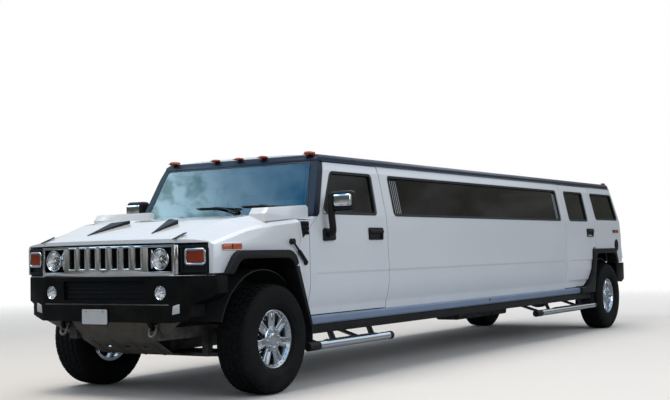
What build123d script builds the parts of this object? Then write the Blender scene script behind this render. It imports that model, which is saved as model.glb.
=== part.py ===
from build123d import *
import math
import os

# Stretch limousine built on a large off-road wagon, lengths in millimetres.
# +X points forward, +Y to the vehicle's left, +Z up.
# The origin is on the ground under the middle of the overall box.

# ---------------------------------------------------------------- driving dimensions
STRETCH = 4572.0            # length let into the base wagon's middle
BASE_WHEELBASE = 3118.0
WHEELBASE = BASE_WHEELBASE + STRETCH
FRONT_OVERHANG = 875.0      # front axle to the front bumper's face
REAR_OVERHANG = 827.0       # rear axle to the rear bumper's face
TRACK = 1763.0

TYRE_R = 436.0
TYRE_WIDTH = 315.0
TYRE_TREAD_WIDTH = 262.0
BEAD_R = 216.0
RIM_FLANGE_R = 233.0
RIM_WIDTH = 236.0
RIM_WALL = 13.0
SPOKE_COUNT = 7

GAP = 8.0                   # shut gap round doors, hood and tailgate
RUNNING_GAP = 0.5           # round a pin that turns in its bore

FLOOR_BOTTOM = 560.0
FLOOR_TOP = 600.0
SILL_BOTTOM = 511.0
SILL_TOP = 582.0
BELT_Z = 1440.0
ROOF_TOP = 1985.0
ROOF_RAIL_TOP = ROOF_TOP - 17.0
ROOF_JOINT = ROOF_TOP - 80.0            # top of the side walls
RAIL_SHOULDER = ROOF_JOINT + 33.0       # outer bend of the black roof rails
DOOR_TOP = ROOF_JOINT - GAP
GATE_TOP = ROOF_JOINT - 24.0
WINDOW_TOP = ROOF_JOINT - 90.0
SIDE_Y = 985.0              # flat middle of the body side
FLARE_Y = 1031.0            # outside of the wheel arch mouldings
GLASS_RECESS = 20.0
GLASS_THICKNESS = 6.0
WINDOW_CORNER_R = 38.0

# Outside and inside of the side wall, from the sill up. Columns: height, half width.
WALL_OUTSIDE = ((520.0, 940.0), (640.0, 945.0), (830.0, SIDE_Y), (1250.0, SIDE_Y),
                (BELT_Z, 972.0), (WINDOW_TOP + 15.0, 895.0), (ROOF_JOINT, 868.0))
WALL_INSIDE = ((520.0, 880.0), (600.0, 880.0), (640.0, 905.0), (BELT_Z, 905.0), (ROOF_JOINT, 803.0))

FRONT_X = (WHEELBASE + REAR_OVERHANG - FRONT_OVERHANG) / 2
REAR_X = FRONT_X - WHEELBASE
AXLE_Z = TYRE_R
WHEEL_Y = TRACK / 2
LEFT, RIGHT = 1, -1
ACROSS = (-FLARE_Y - 200.0, FLARE_Y + 200.0)


# ---------------------------------------------------------------- helpers
def prism(points, axis, low, high):
    """Closed outline pushed along one axis; each point holds the other two coordinates in X, Y, Z order."""
    place = {"x": lambda u, v: (low, u, v),
             "y": lambda u, v: (u, low, v),
             "z": lambda u, v: (u, v, low)}[axis]
    reach = high - low
    along = {"x": (reach, 0, 0), "y": (0, reach, 0), "z": (0, 0, reach)}[axis]
    outline = Wire.make_polygon([place(u, v) for u, v in points])
    return Solid.extrude(Face(outline), Vector(*along))


def block(x, y, z):
    """Box between two limits on each axis."""
    corners = ((x[0], y[0]), (x[1], y[0]), (x[1], y[1]), (x[0], y[1]))
    return prism(corners, "z", z[0], z[1])


def rod(start, end, radius):
    """Round bar between two points."""
    start, end = Vector(*start), Vector(*end)
    along = end - start
    return Solid.make_cylinder(radius, along.length, Plane(start, z_dir=along))


def ring(start, end, outer, inner):
    return rod(start, end, outer) - rod(start, end, inner)


def mirrored(shape):
    return mirror(shape, about=Plane.XZ)


def both(shape):
    """The left piece and its mirror image on the right."""
    return [shape, mirrored(shape)]


def from_front(points):
    """Side-view points measured from the front axle, moved to the vehicle's frame."""
    return [(FRONT_X + x, z) for x, z in points]


def from_rear(points):
    return [(REAR_X + x, z) for x, z in points]


def rounded(corners, low, high):
    """Closed side-view outline pushed along Y. Columns of a corner: x, height, radius (0 leaves it sharp)."""
    points = [Vector(x, low, z) for x, z, radius in corners]
    stops = []
    for index, (x, z, radius) in enumerate(corners):
        here = points[index]
        back = (points[index - 1] - here).normalized()
        ahead = (points[(index + 1) % len(points)] - here).normalized()
        if radius == 0.0:
            stops.append((here, None, here))
            continue
        half_turn = math.radians(back.get_angle(ahead)) / 2
        reach = radius / math.tan(half_turn)
        centre = here + (back + ahead).normalized() * (radius / math.sin(half_turn))
        middle = centre + (here - centre).normalized() * radius
        stops.append((here + back * reach, middle, here + ahead * reach))
    edges = []
    for index, (start, middle, end) in enumerate(stops):
        edges.append(Edge.make_line(stops[index - 1][2], start))
        if middle is not None:
            edges.append(Edge.make_three_point_arc(start, middle, end))
    return Solid.extrude(Face(Wire(edges)), Vector(0, high - low, 0))


def one(shape):
    """The single solid of a shape."""
    solids = shape.solids()
    assert len(solids) == 1, f"{len(solids)} solids where one is meant"
    return solids[0]


NODES = {}


def keep(name, *solids):
    flat = []
    for item in solids:
        flat.extend(item if isinstance(item, list) else [item])
    NODES[name] = [solid for item in flat for solid in item.solids()]


# ---------------------------------------------------------------- body side walls
def wall(x_low, x_high, side):
    """Full-height length of side wall."""
    outside = [(side * y, z) for z, y in WALL_OUTSIDE]
    inside = [(side * y, z) for z, y in reversed(WALL_INSIDE)]
    return prism(outside + inside, "x", x_low, x_high)


def half_width(z, table=WALL_OUTSIDE):
    """Half width of the wall at one height."""
    for (z_low, y_low), (z_high, y_high) in zip(table, table[1:]):
        if z <= z_high:
            return y_low + (y_high - y_low) * (z - z_low) / (z_high - z_low)
    return table[-1][1]


def wall_piece(outline, side):
    """Part of the side wall inside a side-view outline."""
    xs = [x for x, z in outline]
    reach = (0.0, side * (FLARE_Y + 50))
    cutter = prism(outline, "y", min(reach), max(reach))
    return wall(min(xs), max(xs), side) & cutter


def through(outline):
    """Side-view outline pushed across the whole body."""
    return prism(outline, "y", -FLARE_Y - 200, FLARE_Y + 200)


def window(outline):
    """Round-cornered window outline pushed across the whole body."""
    return rounded([(x, z, WINDOW_CORNER_R) for x, z in outline], *ACROSS)


def end_window(half_outline):
    """Round-cornered opening through the front or rear end. Points of the left half: half width, height."""
    outline = list(half_outline) + [(-y, z) for y, z in reversed(half_outline)]
    opening = rounded([(y, z, WINDOW_CORNER_R) for y, z in outline], -WHEELBASE, WHEELBASE)
    return opening.rotate(Axis.Z, -90)


def pane(outline, side):
    """Glass sheet that fills a window outline, set back from the wall's outside."""
    zs = [z for x, z in outline]
    z_low, z_high = min(zs), max(zs)
    section = []
    for z, depth in ((z_low, 0), (z_high, 0), (z_high, GLASS_THICKNESS), (z_low, GLASS_THICKNESS)):
        section.append((side * (half_width(z) - GLASS_RECESS - depth), z))
    xs = [x for x, z in outline]
    sheet = prism(section, "x", min(xs), max(xs))
    return sheet & window(outline)


# Arch mouldings, side view: the front ones are measured from the front axle, the rear ones from
# the rear axle. Columns: x, height, corner radius.
ARCH_FOOT = SILL_BOTTOM - 60.0
FRONT_ARCH_OUTER = ((-529.0, ARCH_FOOT, 0.0), (-279.0, 1138.0, 150.0), (480.0, 1141.0, 150.0), (700.0, 860.0, 0.0),
                    (700.0, ARCH_FOOT, 0.0))
FRONT_ARCH_INNER = ((-504.0, ARCH_FOOT, 0.0), (-240.0, 1075.0, 130.0), (440.0, 1078.0, 130.0), (630.0, 860.0, 0.0),
                    (630.0, ARCH_FOOT, 0.0))
REAR_ARCH_OUTER = ((1010.0, ARCH_FOOT, 0.0), (1010.0, SILL_TOP, 0.0), (610.0, SILL_TOP, 240.0),
                   (470.0, 1079.0, 75.0), (-330.0, 1079.0, 110.0), (-432.0, 860.0, 60.0), (-432.0, ARCH_FOOT, 0.0))
REAR_ARCH_INNER = ((560.0, ARCH_FOOT, 0.0), (500.0, 700.0, 120.0), (420.0, 1015.0, 70.0),
                   (-285.0, 1015.0, 100.0), (-372.0, 840.0, 60.0), (-372.0, ARCH_FOOT, 0.0))


def arch(table, origin, y=ACROSS, grow=0.0):
    """Space inside an arch outline, grown outward by a margin where asked."""
    corners = [(origin + x + math.copysign(grow, x), z + (grow if z > ARCH_FOOT else 0.0), radius)
               for x, z, radius in table]
    return rounded(corners, *y)


# Shut lines and windows, side view.
FRONT_DOOR = from_front(((-548.0, 590.0), (-548.0, 1310.0), (-725.0, 1440.0), (-932.0, DOOR_TOP),
                         (-1835.0, DOOR_TOP), (-1835.0, 590.0)))
REAR_DOOR = from_rear(((1390.0, 590.0), (1390.0, DOOR_TOP), (360.0, DOOR_TOP), (360.0, 590.0)))
FRONT_WINDOW = from_front(((-770.0, BELT_Z + 2), (-1005.0, WINDOW_TOP), (-1690.0, WINDOW_TOP),
                           (-1672.0, BELT_Z + 2)))
REAR_WINDOW = from_rear(((1240.0, BELT_Z + 2), (1255.0, WINDOW_TOP), (605.0, WINDOW_TOP),
                         (590.0, BELT_Z + 2)))
LONG_WINDOW = ((FRONT_X - 1990.0, BELT_Z), (FRONT_X - 1990.0, WINDOW_TOP),
               (REAR_X + 1520.0, WINDOW_TOP), (REAR_X + 1520.0, BELT_Z))
QUARTER_WINDOW = from_rear(((275.0, BELT_Z + 26), (315.0, WINDOW_TOP), (-500.0, WINDOW_TOP),
                            (-585.0, BELT_Z + 26)))
# Outside of the rear end, from the bumper up, measured from the rear axle.
TAIL_FOOT = 880.0
TAIL_LINE = ((-670.0, TAIL_FOOT), (-655.0, BELT_Z), (-536.0, GATE_TOP - 1.0), (-530.0, ROOF_JOINT))
TAIL_THICKNESS = 40.0
TAILGATE_HALF_WIDTH = 772.0
DOOR_SWING_RELIEF = 0.085   # slope of a door's rear edge in plan, so that it clears as it swings


def tail_strip(z_low, z_high, y_low, y_high):
    """Length of the rear end wall between two heights."""
    line = [(x, z) for x, z in TAIL_LINE if z_low < z < z_high]
    ends = [(tail_x(z_low), z_low)] + line + [(tail_x(z_high), z_high)]
    back = [(x + TAIL_THICKNESS, z) for x, z in reversed(ends)]
    return prism(from_rear(ends + back), "y", y_low, y_high)


def tail_x(z):
    return half_width(z, [(height, x) for x, height in TAIL_LINE])


def build_side_walls():
    """Cowl sides, stretch panels and rear quarters: the fixed white walls on each side."""
    cowl_outline = from_front(((-300.0, 900.0), (-408.0, COWL_TOP), (-600.0, COWL_TOP), (-853.0, ROOF_JOINT),
                               (-927.0, ROOF_JOINT), (-717.0, 1441.0), (-540.0, 1311.0), (-540.0, SILL_TOP),
                               (-420.0, SILL_TOP)))
    hood_edge = from_front(((-200.0, 1400.0), (-408.0, 1392.0), (-420.0, 1213.0), (-321.0, 1030.0),
                            (-200.0, 900.0)))
    cowl = wall_piece(cowl_outline, LEFT) - through(hood_edge) - arch(FRONT_ARCH_OUTER, FRONT_X)
    cowl = cowl - prism(from_front(SIDE_VENT), "y", SIDE_Y - VENT_DEPTH, SIDE_Y + 50)
    keep("cowl_sides", both(one(cowl)))

    front, rear = FRONT_X - 1835.0 - GAP, REAR_X + 1390.0 + GAP
    stretch_outline = ((front, SILL_TOP), (front, ROOF_JOINT), (rear, ROOF_JOINT), (rear, SILL_TOP))
    panel = wall_piece(stretch_outline, LEFT) - window(LONG_WINDOW)
    keep("stretch_panels", both(one(panel)))

    quarter_x = REAR_X + 360.0 - GAP
    tail = from_rear(reversed(TAIL_LINE))
    quarter_outline = [(quarter_x, TAIL_FOOT), (quarter_x, ROOF_JOINT)] + tail
    quarter = wall_piece(quarter_outline, LEFT) - window(QUARTER_WINDOW) - arch(REAR_ARCH_OUTER, REAR_X)
    pillar = tail_strip(TAIL_FOOT, ROOF_JOINT, TAILGATE_HALF_WIDTH + GAP, SIDE_Y)
    pillar = pillar & (wall(REAR_X - 700, REAR_X - 400, LEFT)
                       + block((REAR_X - 700, REAR_X - 400), (0, 880), (500, ROOF_JOINT)))
    lamp = block((REAR_X - 700, REAR_X - 625), TAIL_LAMP_Y, TAIL_LAMP_Z)
    cap = rod((REAR_X + FUEL_CAP[0], SIDE_Y - 12, FUEL_CAP[1]), (REAR_X + FUEL_CAP[0], SIDE_Y + 5, FUEL_CAP[1]),
              FUEL_CAP_R)
    shell = quarter + pillar - lamp
    keep("rear_quarters", one(shell - cap), mirrored(one(shell)))

    rocker = wall_piece(((FRONT_X - 515.0, 520.0), (FRONT_X - 515.0, SILL_TOP),
                         (REAR_X + 1010.0, SILL_TOP), (REAR_X + 1010.0, 520.0)), LEFT)
    keep("rockers", both(one(rocker)))


COWL_TOP = 1384.0
SIDE_VENT = ((-424.0, 1372.0), (-530.0, 1372.0), (-530.0, 1296.0), (-442.0, 1232.0))
VENT_DEPTH = 25.0
TAIL_LAMP_Y = (820.0, 930.0)
TAIL_LAMP_Z = (1010.0, 1240.0)
FUEL_CAP = (-469.0, 1116.0)     # behind the rear axle, height
FUEL_CAP_R = 86.0


def build_roof():
    """White roof skin between two black side rails joined by the header over the windshield."""
    front, rear = FRONT_X - 853.0, REAR_X - 530.0
    half = ((0.0, ROOF_TOP), (480.0, ROOF_TOP - 5), (700.0, ROOF_TOP - 14), (795.0, ROOF_TOP - 27),
            (795.0, ROOF_JOINT + 10.0))
    section = [(y, z) for y, z in half] + [(-y, z) for y, z in reversed(half) if y]
    skin = prism(section, "x", rear, front - 52.0)
    header = block((rear, rear + TAIL_THICKNESS), (-TAILGATE_HALF_WIDTH, TAILGATE_HALF_WIDTH),
                   (GATE_TOP + GAP, ROOF_JOINT + 15.0))
    keep("roof_panel", one(skin + header))

    rail = ((795.0, ROOF_JOINT), (868.0, ROOF_JOINT), (863.0, RAIL_SHOULDER), (838.0, ROOF_RAIL_TOP),
            (795.0, ROOF_RAIL_TOP))
    left = prism(rail, "x", rear, front)
    visor = prism(from_front(((-853.0, ROOF_JOINT), (-868.0, RAIL_SHOULDER), (-905.0, ROOF_RAIL_TOP),
                              (-905.0, ROOF_JOINT))), "y", -863.0, 863.0)
    across = prism(((863.0, ROOF_JOINT), (863.0, RAIL_SHOULDER), (838.0, ROOF_RAIL_TOP), (-838.0, ROOF_RAIL_TOP),
                    (-863.0, RAIL_SHOULDER), (-863.0, ROOF_JOINT)), "x", front - 60, front)
    nose_cut = prism(from_front(((-800.0, DOOR_TOP), (-853.0, DOOR_TOP), (-853.0, ROOF_JOINT), (-868.0, RAIL_SHOULDER),
                                 (-905.0, ROOF_RAIL_TOP), (-905.0, ROOF_TOP + 5.0), (-800.0, ROOF_TOP + 5.0))),
                     "y", -900.0, 900.0)
    keep("roof_rails", one(left + mirrored(left) + (visor & across) - nose_cut))


# ---------------------------------------------------------------- doors
def rear_edge_relief(x_edge, side):
    """Wedge that a door loses at its rear edge so that it clears the pillar as it swings."""
    depth = 300.0
    corners = ((x_edge - 50, side * SIDE_Y), (x_edge, side * SIDE_Y),
               (x_edge + DOOR_SWING_RELIEF * depth, side * (SIDE_Y - depth)), (x_edge - 50, side * (SIDE_Y - depth)))
    return prism(corners, "z", SILL_BOTTOM - 100.0, ROOF_TOP)


def door_pull(x_low, x_high, z_low, z_high):
    """Square pull handle: a plate with a finger scoop under its lever."""
    plate = block((x_low, x_high), (SIDE_Y, SIDE_Y + 14.0), (z_low, z_high))
    lever_z = z_low + 0.62 * (z_high - z_low)
    scoop = block((x_low + 22, x_high - 22), (SIDE_Y + 5, SIDE_Y + 20), (z_low + 14, lever_z))
    lever = block((x_low + 30, x_high - 30), (SIDE_Y + 5, SIDE_Y + 26), (lever_z - 6, z_high - 12))
    return one(plate - scoop + lever)


def mirror_unit():
    """Foot, arm and head of the left door mirror."""
    x = FRONT_X - 800.0
    foot = block((FRONT_X - 928, FRONT_X - 737), (SIDE_Y - 4, SIDE_Y + 24), (1205.0, 1320.0)) \
        & prism(((SIDE_Y, 1205.0), (SIDE_Y + 24, 1215.0), (SIDE_Y + 24, 1310.0), (SIDE_Y, 1320.0)),
                "x", FRONT_X - 950, FRONT_X - 700)
    arm = prism(((SIDE_Y + 10, 1225.0), (SIDE_Y + 55, 1235.0), (1085.0, 1300.0), (1095.0, 1500.0), (1050.0, 1500.0),
                 (1040.0, 1330.0), (SIDE_Y + 10, 1300.0)), "x", x - 32.0, x + 32.0)
    head = block((x - 60, x + 60), (1052.0, 1268.0), (1452.0, 1628.0))
    head = fillet(head.edges().filter_by(Axis.X) + head.faces().sort_by(Axis.X)[-1].edges(), 22.0)
    return one(foot + arm + head)


def build_doors():
    # Columns: name, outline, window, handle x from the door's own axle, handle z, rear edge x.
    handle_front = (FRONT_X - 1742.0, FRONT_X - 1493.0, 1214.0, 1325.0)
    handle_rear = (REAR_X + 439.0, REAR_X + 669.0, 1236.0, 1344.0)
    table = (("front", FRONT_DOOR, FRONT_WINDOW, handle_front, FRONT_X - 1835.0),
             ("rear", REAR_DOOR, REAR_WINDOW, handle_rear, REAR_X + 360.0))
    for name, outline, window_line, handle, rear_edge in table:
        panel = wall_piece(outline, LEFT) - window(window_line) - rear_edge_relief(rear_edge, LEFT)
        if name == "rear":
            panel = panel - arch(REAR_ARCH_OUTER, REAR_X, grow=15.0)
        glass = pane(window_line, LEFT)
        fittings = [door_pull(*handle)]
        if name == "front":
            fittings.append(mirror_unit())
        for side_name, flip in (("left", lambda shape: shape), ("right", mirrored)):
            keep(f"door_{name}_{side_name}", flip(one(panel)))
            keep(f"door_{name}_{side_name}_glass", flip(one(glass)))
            keep(f"door_{name}_{side_name}_fittings", [flip(piece) for piece in fittings])


def build_tailgate():
    half = TAILGATE_HALF_WIDTH
    gate = tail_strip(TAIL_FOOT + GAP, GATE_TOP, -half, half)
    z_low, z_high, recess = BELT_Z + 15.0, WINDOW_TOP - 10.0, GLASS_RECESS - 2.0
    gate_window = end_window(((640.0, z_low), (600.0, z_high))) & block((REAR_X - 900, REAR_X - 300), ACROSS,
                                                                       (BELT_Z, ROOF_TOP))
    keep("tailgate", one(gate - gate_window))
    line = ((z_low, recess), (z_high, recess), (z_high, recess + GLASS_THICKNESS), (z_low, recess + GLASS_THICKNESS))
    sheet = prism(from_rear([(tail_x(z) + depth, z) for z, depth in line]), "y", -640.0, 640.0)
    keep("tailgate_glass", one(sheet & gate_window))


# ---------------------------------------------------------------- windshield and fixed glass
SHIELD_FOOT = (-604.0, 1392.0)     # outer face of the windshield frame, from the front axle
SHIELD_HEAD = (-853.0, ROOF_JOINT)
SHIELD_THICKNESS = 46.0


def shield_sheet(front_depth, back_depth):
    """Slab parallel to the windshield between two depths behind its outer face."""
    corners = [(SHIELD_FOOT[0] - front_depth, SHIELD_FOOT[1]), (SHIELD_HEAD[0] - front_depth, SHIELD_HEAD[1]),
               (SHIELD_HEAD[0] - back_depth, SHIELD_HEAD[1]), (SHIELD_FOOT[0] - back_depth, SHIELD_FOOT[1])]
    return prism(from_front(corners), "y", -1000.0, 1000.0)


def build_windshield():
    inside = 2.0
    outline = [(half_width(z, WALL_INSIDE) - inside, z) for z in (SHIELD_FOOT[1], BELT_Z, ROOF_JOINT)]
    outline = outline + [(-y, z) for y, z in reversed(outline)]
    head_z = ROOF_JOINT - 37.0
    frame_mask = prism(outline, "x", FRONT_X - 1000, FRONT_X - 500)
    hole = end_window(((838.0, 1478.0), (760.0, head_z)))
    frame = (shield_sheet(0.0, SHIELD_THICKNESS) & frame_mask) - hole
    keep("windshield_frame", one(frame))
    shield = one(shield_sheet(14.0, 14.0 + GLASS_THICKNESS) & hole)
    panes = [pane(outline, LEFT) for outline in (LONG_WINDOW, QUARTER_WINDOW)]
    keep("fixed_glass", shield, *[both(one(sheet)) for sheet in panes])


# ---------------------------------------------------------------- hood
# Sections of the hood's outside. Columns: distance ahead of the front axle, centre height,
# inner crease half width and height, outer crease half width and height.
HOOD_SECTIONS = ((900.0, 1222.0, 640.0, 1216.0, 955.0, 1209.0),
                 (700.0, 1290.0, 700.0, 1270.0, 957.0, 1213.0),
                 (300.0, 1390.0, 760.0, 1386.0, 960.0, 1312.0),
                 (-50.0, 1428.0, 780.0, 1425.0, 962.0, 1356.0),
                 (-590.0, 1446.0, 800.0, 1440.0, 964.0, 1402.0))
HOOD_SHEET = 30.0
HOOD_LIP_Z = 1205.0
HOOD_SKIRT_Z = 975.0
HOOD_PLAN = ((850.0, 0.0), (820.0, 690.0), (735.0, 975.0), (725.0, SIDE_Y + 5))   # nose, from the front axle
SCOOP = ((690.0, 345.0), (395.0, 365.0), (330.0, 215.0))                       # plan corners of a hood vent


def hood_section(row, inset):
    x, z_mid, y_in, z_in, y_out, z_out = row
    foot = HOOD_SKIRT_Z - (60.0 if inset else 0.0)
    half = ((0.0, z_mid - inset), (y_in - inset * 0.3, z_in - inset), (y_out - inset * 0.8, z_out - inset),
            (SIDE_Y - inset, z_out - 24 - inset), (SIDE_Y - inset, foot))
    points = [(FRONT_X + x, y, z) for y, z in half]
    points += [(FRONT_X + x, -y, z) for y, z in reversed(half) if y]
    return Wire.make_polygon(points)


def build_hood():
    outside = Solid.make_loft([hood_section(row, 0.0) for row in HOOD_SECTIONS], ruled=True)
    inside = Solid.make_loft([hood_section(row, HOOD_SHEET) for row in HOOD_SECTIONS], ruled=True)
    ends = block((FRONT_X - 700, FRONT_X - 560), (-SIDE_Y + HOOD_SHEET, SIDE_Y - HOOD_SHEET), (900, 1370))
    plan = [(FRONT_X + x, y) for x, y in HOOD_PLAN]
    plan_outline = plan + [(FRONT_X - 700, SIDE_Y + 5), (FRONT_X - 700, -SIDE_Y - 5)] \
        + [(x, -y) for x, y in reversed(plan) if y]
    shell = (outside - inside - ends) & prism(plan_outline, "z", 900.0, 1600.0)
    nose = block((FRONT_X + 430, FRONT_X + 950), (-950.0, 950.0), (900.0, HOOD_LIP_Z))
    rear_side = from_front(((-399.0, 1392.0), (-412.0, 1213.0), (-305.0, 1015.0), (-305.0, 900.0),
                            (-700.0, 900.0), (-700.0, 1392.0)))
    shell = shell - nose - through(rear_side) - arch(FRONT_ARCH_OUTER, FRONT_X)
    for side in (LEFT, RIGHT):
        y_near, y_far = sorted((side * 778.0, side * 942.0))
        box = prism(from_front(((12.0, 1366.0), (12.0, 1432.0), (-30.0, 1480.0), (-560.0, 1510.0),
                                (-590.0, 1492.0), (-590.0, 1394.0), (-365.0, 1394.0))), "y", y_near, y_far)
        shell = shell + box
    keep("hood_panel", one(shell))
    seated = [one(piece - shell) for piece in (hood_flare(), hood_vent())]
    keep("hood_trim", *[both(piece) for piece in seated], both(hood_latch()))
    marker = block((FRONT_X + 389.0, FRONT_X + 622.0), (SIDE_Y, SIDE_Y + 9.0), (1148.0, 1192.0))
    keep("hood_markers", both(fillet(marker.edges().filter_by(Axis.Y), 12.0)))


def hood_flare():
    """Upper part of the front arch moulding, which lifts with the hood."""
    y = (SIDE_Y - 60.0, FLARE_Y)
    outer, inner = arch(FRONT_ARCH_OUTER, FRONT_X, y), arch(FRONT_ARCH_INNER, FRONT_X, y)
    above = prism(from_front(((-305.0, 1015.0), (-100.0, 925.0), (700.0, HOOD_SKIRT_Z), (700.0, 1200.0),
                              (-400.0, 1200.0), (-400.0, 1115.0))), "y", *y)
    return one((outer - inner) & above)


def hood_height(x, y):
    """Height of the hood's outside near the middle."""
    table = sorted((row[0], row[1]) for row in HOOD_SECTIONS)
    return half_width(x, table) - (6.0 if abs(y) > 0 else 0.0)


def hood_vent():
    """Raised three-cornered air outlet on the hood."""
    corners = [(FRONT_X + x, y, hood_height(x, y) - 12.0) for x, y in SCOOP]
    lift = (14.0, 44.0, 44.0)
    top = [(x, y, z + rise) for (x, y, z), rise in zip(corners, lift)]
    a, b = [Wire.make_polygon(ring_points) for ring_points in (corners, top)]
    return one(Solid.make_loft([a, b], ruled=True))


def hood_latch():
    """Rubber strap that holds the hood's rear corner down."""
    top, foot = (FRONT_X - 272.0, 1205.0), (FRONT_X - 462.0, 1028.0)
    y = SIDE_Y + 23.0
    strap = rod((top[0], y, top[1]), (foot[0], y, foot[1]), 9.0)
    head = rod((top[0], SIDE_Y, top[1]), (top[0], SIDE_Y + 34, top[1]), 24.0)
    grip_start = [top[i] + 0.45 * (foot[i] - top[i]) for i in (0, 1)]
    grip = rod((grip_start[0], y, grip_start[1]), (foot[0], y, foot[1]), 16.0)
    return one(strap + head + grip)


# ---------------------------------------------------------------- front end
NOSE_Z = (957.0, 1193.0)
GRILLE_SLOTS = 7
SLOT_PITCH = 117.0
SLOT_WIDTH = 60.0
SLOT_Z = (1018.0, 1176.0)
HEADLAMP = (565.0, 1086.0)      # y, z
HEADLAMP_R = 88.0
TURN_LAMP_Y = (773.0, 925.0)
TURN_LAMP_Z = (1048.0, 1152.0)
FOG_LAMP = (575.0, 835.0)
FOG_LAMP_R = 50.0
PLATE_CENTRE = (-82.0, 690.0)
PLATE_HOLE_SPACING = 177.8
PLATE_HOLE_R = 3.5
TOW_HOOK_Y = 470.0
TOW_EYE = (812.0, 588.0)        # ahead of the front axle, height
TOW_EYE_R = 20.0


def plan_strip(front_line, back_line, z):
    """Body whose plan is the area between two half lines mirrored about the middle."""
    outline = [(FRONT_X + x, y) for x, y in front_line]
    outline += [(FRONT_X + x, y) for x, y in reversed(back_line)]
    left = prism(outline, "z", *z)
    return left + mirrored(left)


def build_nose():
    """Black nose panel, chrome grille shell with seven slots, and the front lamps."""
    panel = plan_strip(((818.0, 0.0), (798.0, 696.0), (786.0, 720.0), (742.0, 943.0)),
                       ((700.0, 0.0), (700.0, 720.0), (690.0, 943.0)), NOSE_Z)
    keep("nose_panel", one(panel))

    shell = plan_strip(((866.0, 0.0), (838.0, 700.0)), ((818.0, 0.0), (798.0, 696.0)), NOSE_Z)
    for index in range(GRILLE_SLOTS):
        y = (index - (GRILLE_SLOTS - 1) / 2) * SLOT_PITCH
        shell = shell - block((FRONT_X + 780, FRONT_X + 900), (y - SLOT_WIDTH / 2, y + SLOT_WIDTH / 2), SLOT_Z)
    for side in (LEFT, RIGHT):
        y_near, y_far = sorted((side * 446.0, side * 676.0))
        shell = shell - block((FRONT_X + 780, FRONT_X + 900), (y_near, y_far), (992.0, 1176.0))
    keep("grille_shell", one(shell))

    x_head = FRONT_X + 806.0
    bowl = rod((x_head - 8, HEADLAMP[0], HEADLAMP[1]), (x_head + 32, HEADLAMP[0], HEADLAMP[1]), HEADLAMP_R)
    bowl = bowl - nose_volume()
    x_fog = FRONT_X + 826.0
    fog = rod((x_fog, FOG_LAMP[0], FOG_LAMP[1]), (x_fog + 36, FOG_LAMP[0], FOG_LAMP[1]), FOG_LAMP_R)
    keep("clear_lamps", both(one(bowl)), both(fog))

    slope = (742.0 - 786.0) / (943.0 - 720.0)
    near, far = [786.0 + slope * (y - 720.0) for y in TURN_LAMP_Y]
    turn = prism(((FRONT_X + near, TURN_LAMP_Y[0]), (FRONT_X + near + 16, TURN_LAMP_Y[0]),
                  (FRONT_X + far + 16, TURN_LAMP_Y[1]), (FRONT_X + far, TURN_LAMP_Y[1])), "z", *TURN_LAMP_Z)
    roof_lamps = [roof_marker(FRONT_X - 885.0, y) for y in ROOF_MARKER_Y]
    keep("amber_lamps", both(one(turn)), roof_lamps)


ROOF_MARKER_Y = (-770.0, -175.0, 0.0, 175.0, 770.0)


def roof_marker(x, y):
    """Small lozenge lamp on the roof's front header."""
    base = block((x - 20, x + 24), (y - 26, y + 26), (ROOF_RAIL_TOP - 30, ROOF_RAIL_TOP + 26))
    cap = fillet(base.edges().filter_by(Axis.Z), 14.0)
    header = prism(from_front(((-853.0, ROOF_JOINT), (-868.0, RAIL_SHOULDER), (-905.0, ROOF_RAIL_TOP),
                               (-960.0, ROOF_RAIL_TOP), (-960.0, ROOF_JOINT))), "y", -863.0, 863.0)
    return one(cap - header)


def nose_volume():
    return plan_strip(((818.0, 0.0), (798.0, 696.0), (786.0, 720.0)), ((700.0, 0.0), (700.0, 720.0), (690.0, 720.0)),
                      (900.0, 1250.0))


def build_front_bumper():
    """Deep black bumper with fog lamp pockets, a recessed middle and two tow eyes."""
    front_line = ((FRONT_OVERHANG, 0.0), (FRONT_OVERHANG, 300.0), (862.0, 660.0), (800.0, 890.0), (690.0, 990.0),
                  (575.0, 995.0))
    back_line = ((765.0, 0.0), (765.0, 560.0), (700.0, 800.0), (575.0, 900.0))
    body = plan_strip(front_line, back_line, (610.0, 957.0))
    mask = ((-1000.0, 957.0), (-1000.0, 830.0), (-885.0, 742.0), (-885.0, 665.0), (-690.0, 610.0),
            (690.0, 610.0), (885.0, 665.0), (885.0, 742.0), (1000.0, 830.0), (1000.0, 957.0))
    body = body & prism(mask, "x", FRONT_X + 500, FRONT_X + 950)
    recess = block((FRONT_X + FRONT_OVERHANG - 28, FRONT_X + 950), (-430.0, 430.0), (772.0, 925.0))
    groove = block((FRONT_X + FRONT_OVERHANG - 30, FRONT_X + 950), (-660.0, 660.0), (738.0, 750.0))
    body = body - recess - groove
    for side in (LEFT, RIGHT):
        y = side * FOG_LAMP[0]
        body = body - rod((FRONT_X + 826, y, FOG_LAMP[1]), (FRONT_X + 950, y, FOG_LAMP[1]), FOG_LAMP_R + 8)
        y = PLATE_CENTRE[0] + side * PLATE_HOLE_SPACING / 2
        body = body - rod((FRONT_X + FRONT_OVERHANG - 25, y, PLATE_CENTRE[1]),
                          (FRONT_X + FRONT_OVERHANG + 5, y, PLATE_CENTRE[1]), PLATE_HOLE_R)
        low, high = side * TOW_HOOK_Y - 11, side * TOW_HOOK_Y + 11
        x, z = FRONT_X + TOW_EYE[0], TOW_EYE[1]
        eye = rod((x, low, z), (x, high, z), 44.0) + block((x - 30, x + 30), (low, high), (z, 640.0))
        body = body + eye - rod((x, low - 5, z), (x, high + 5, z), TOW_EYE_R)
    keep("front_bumper", one(body))


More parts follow.
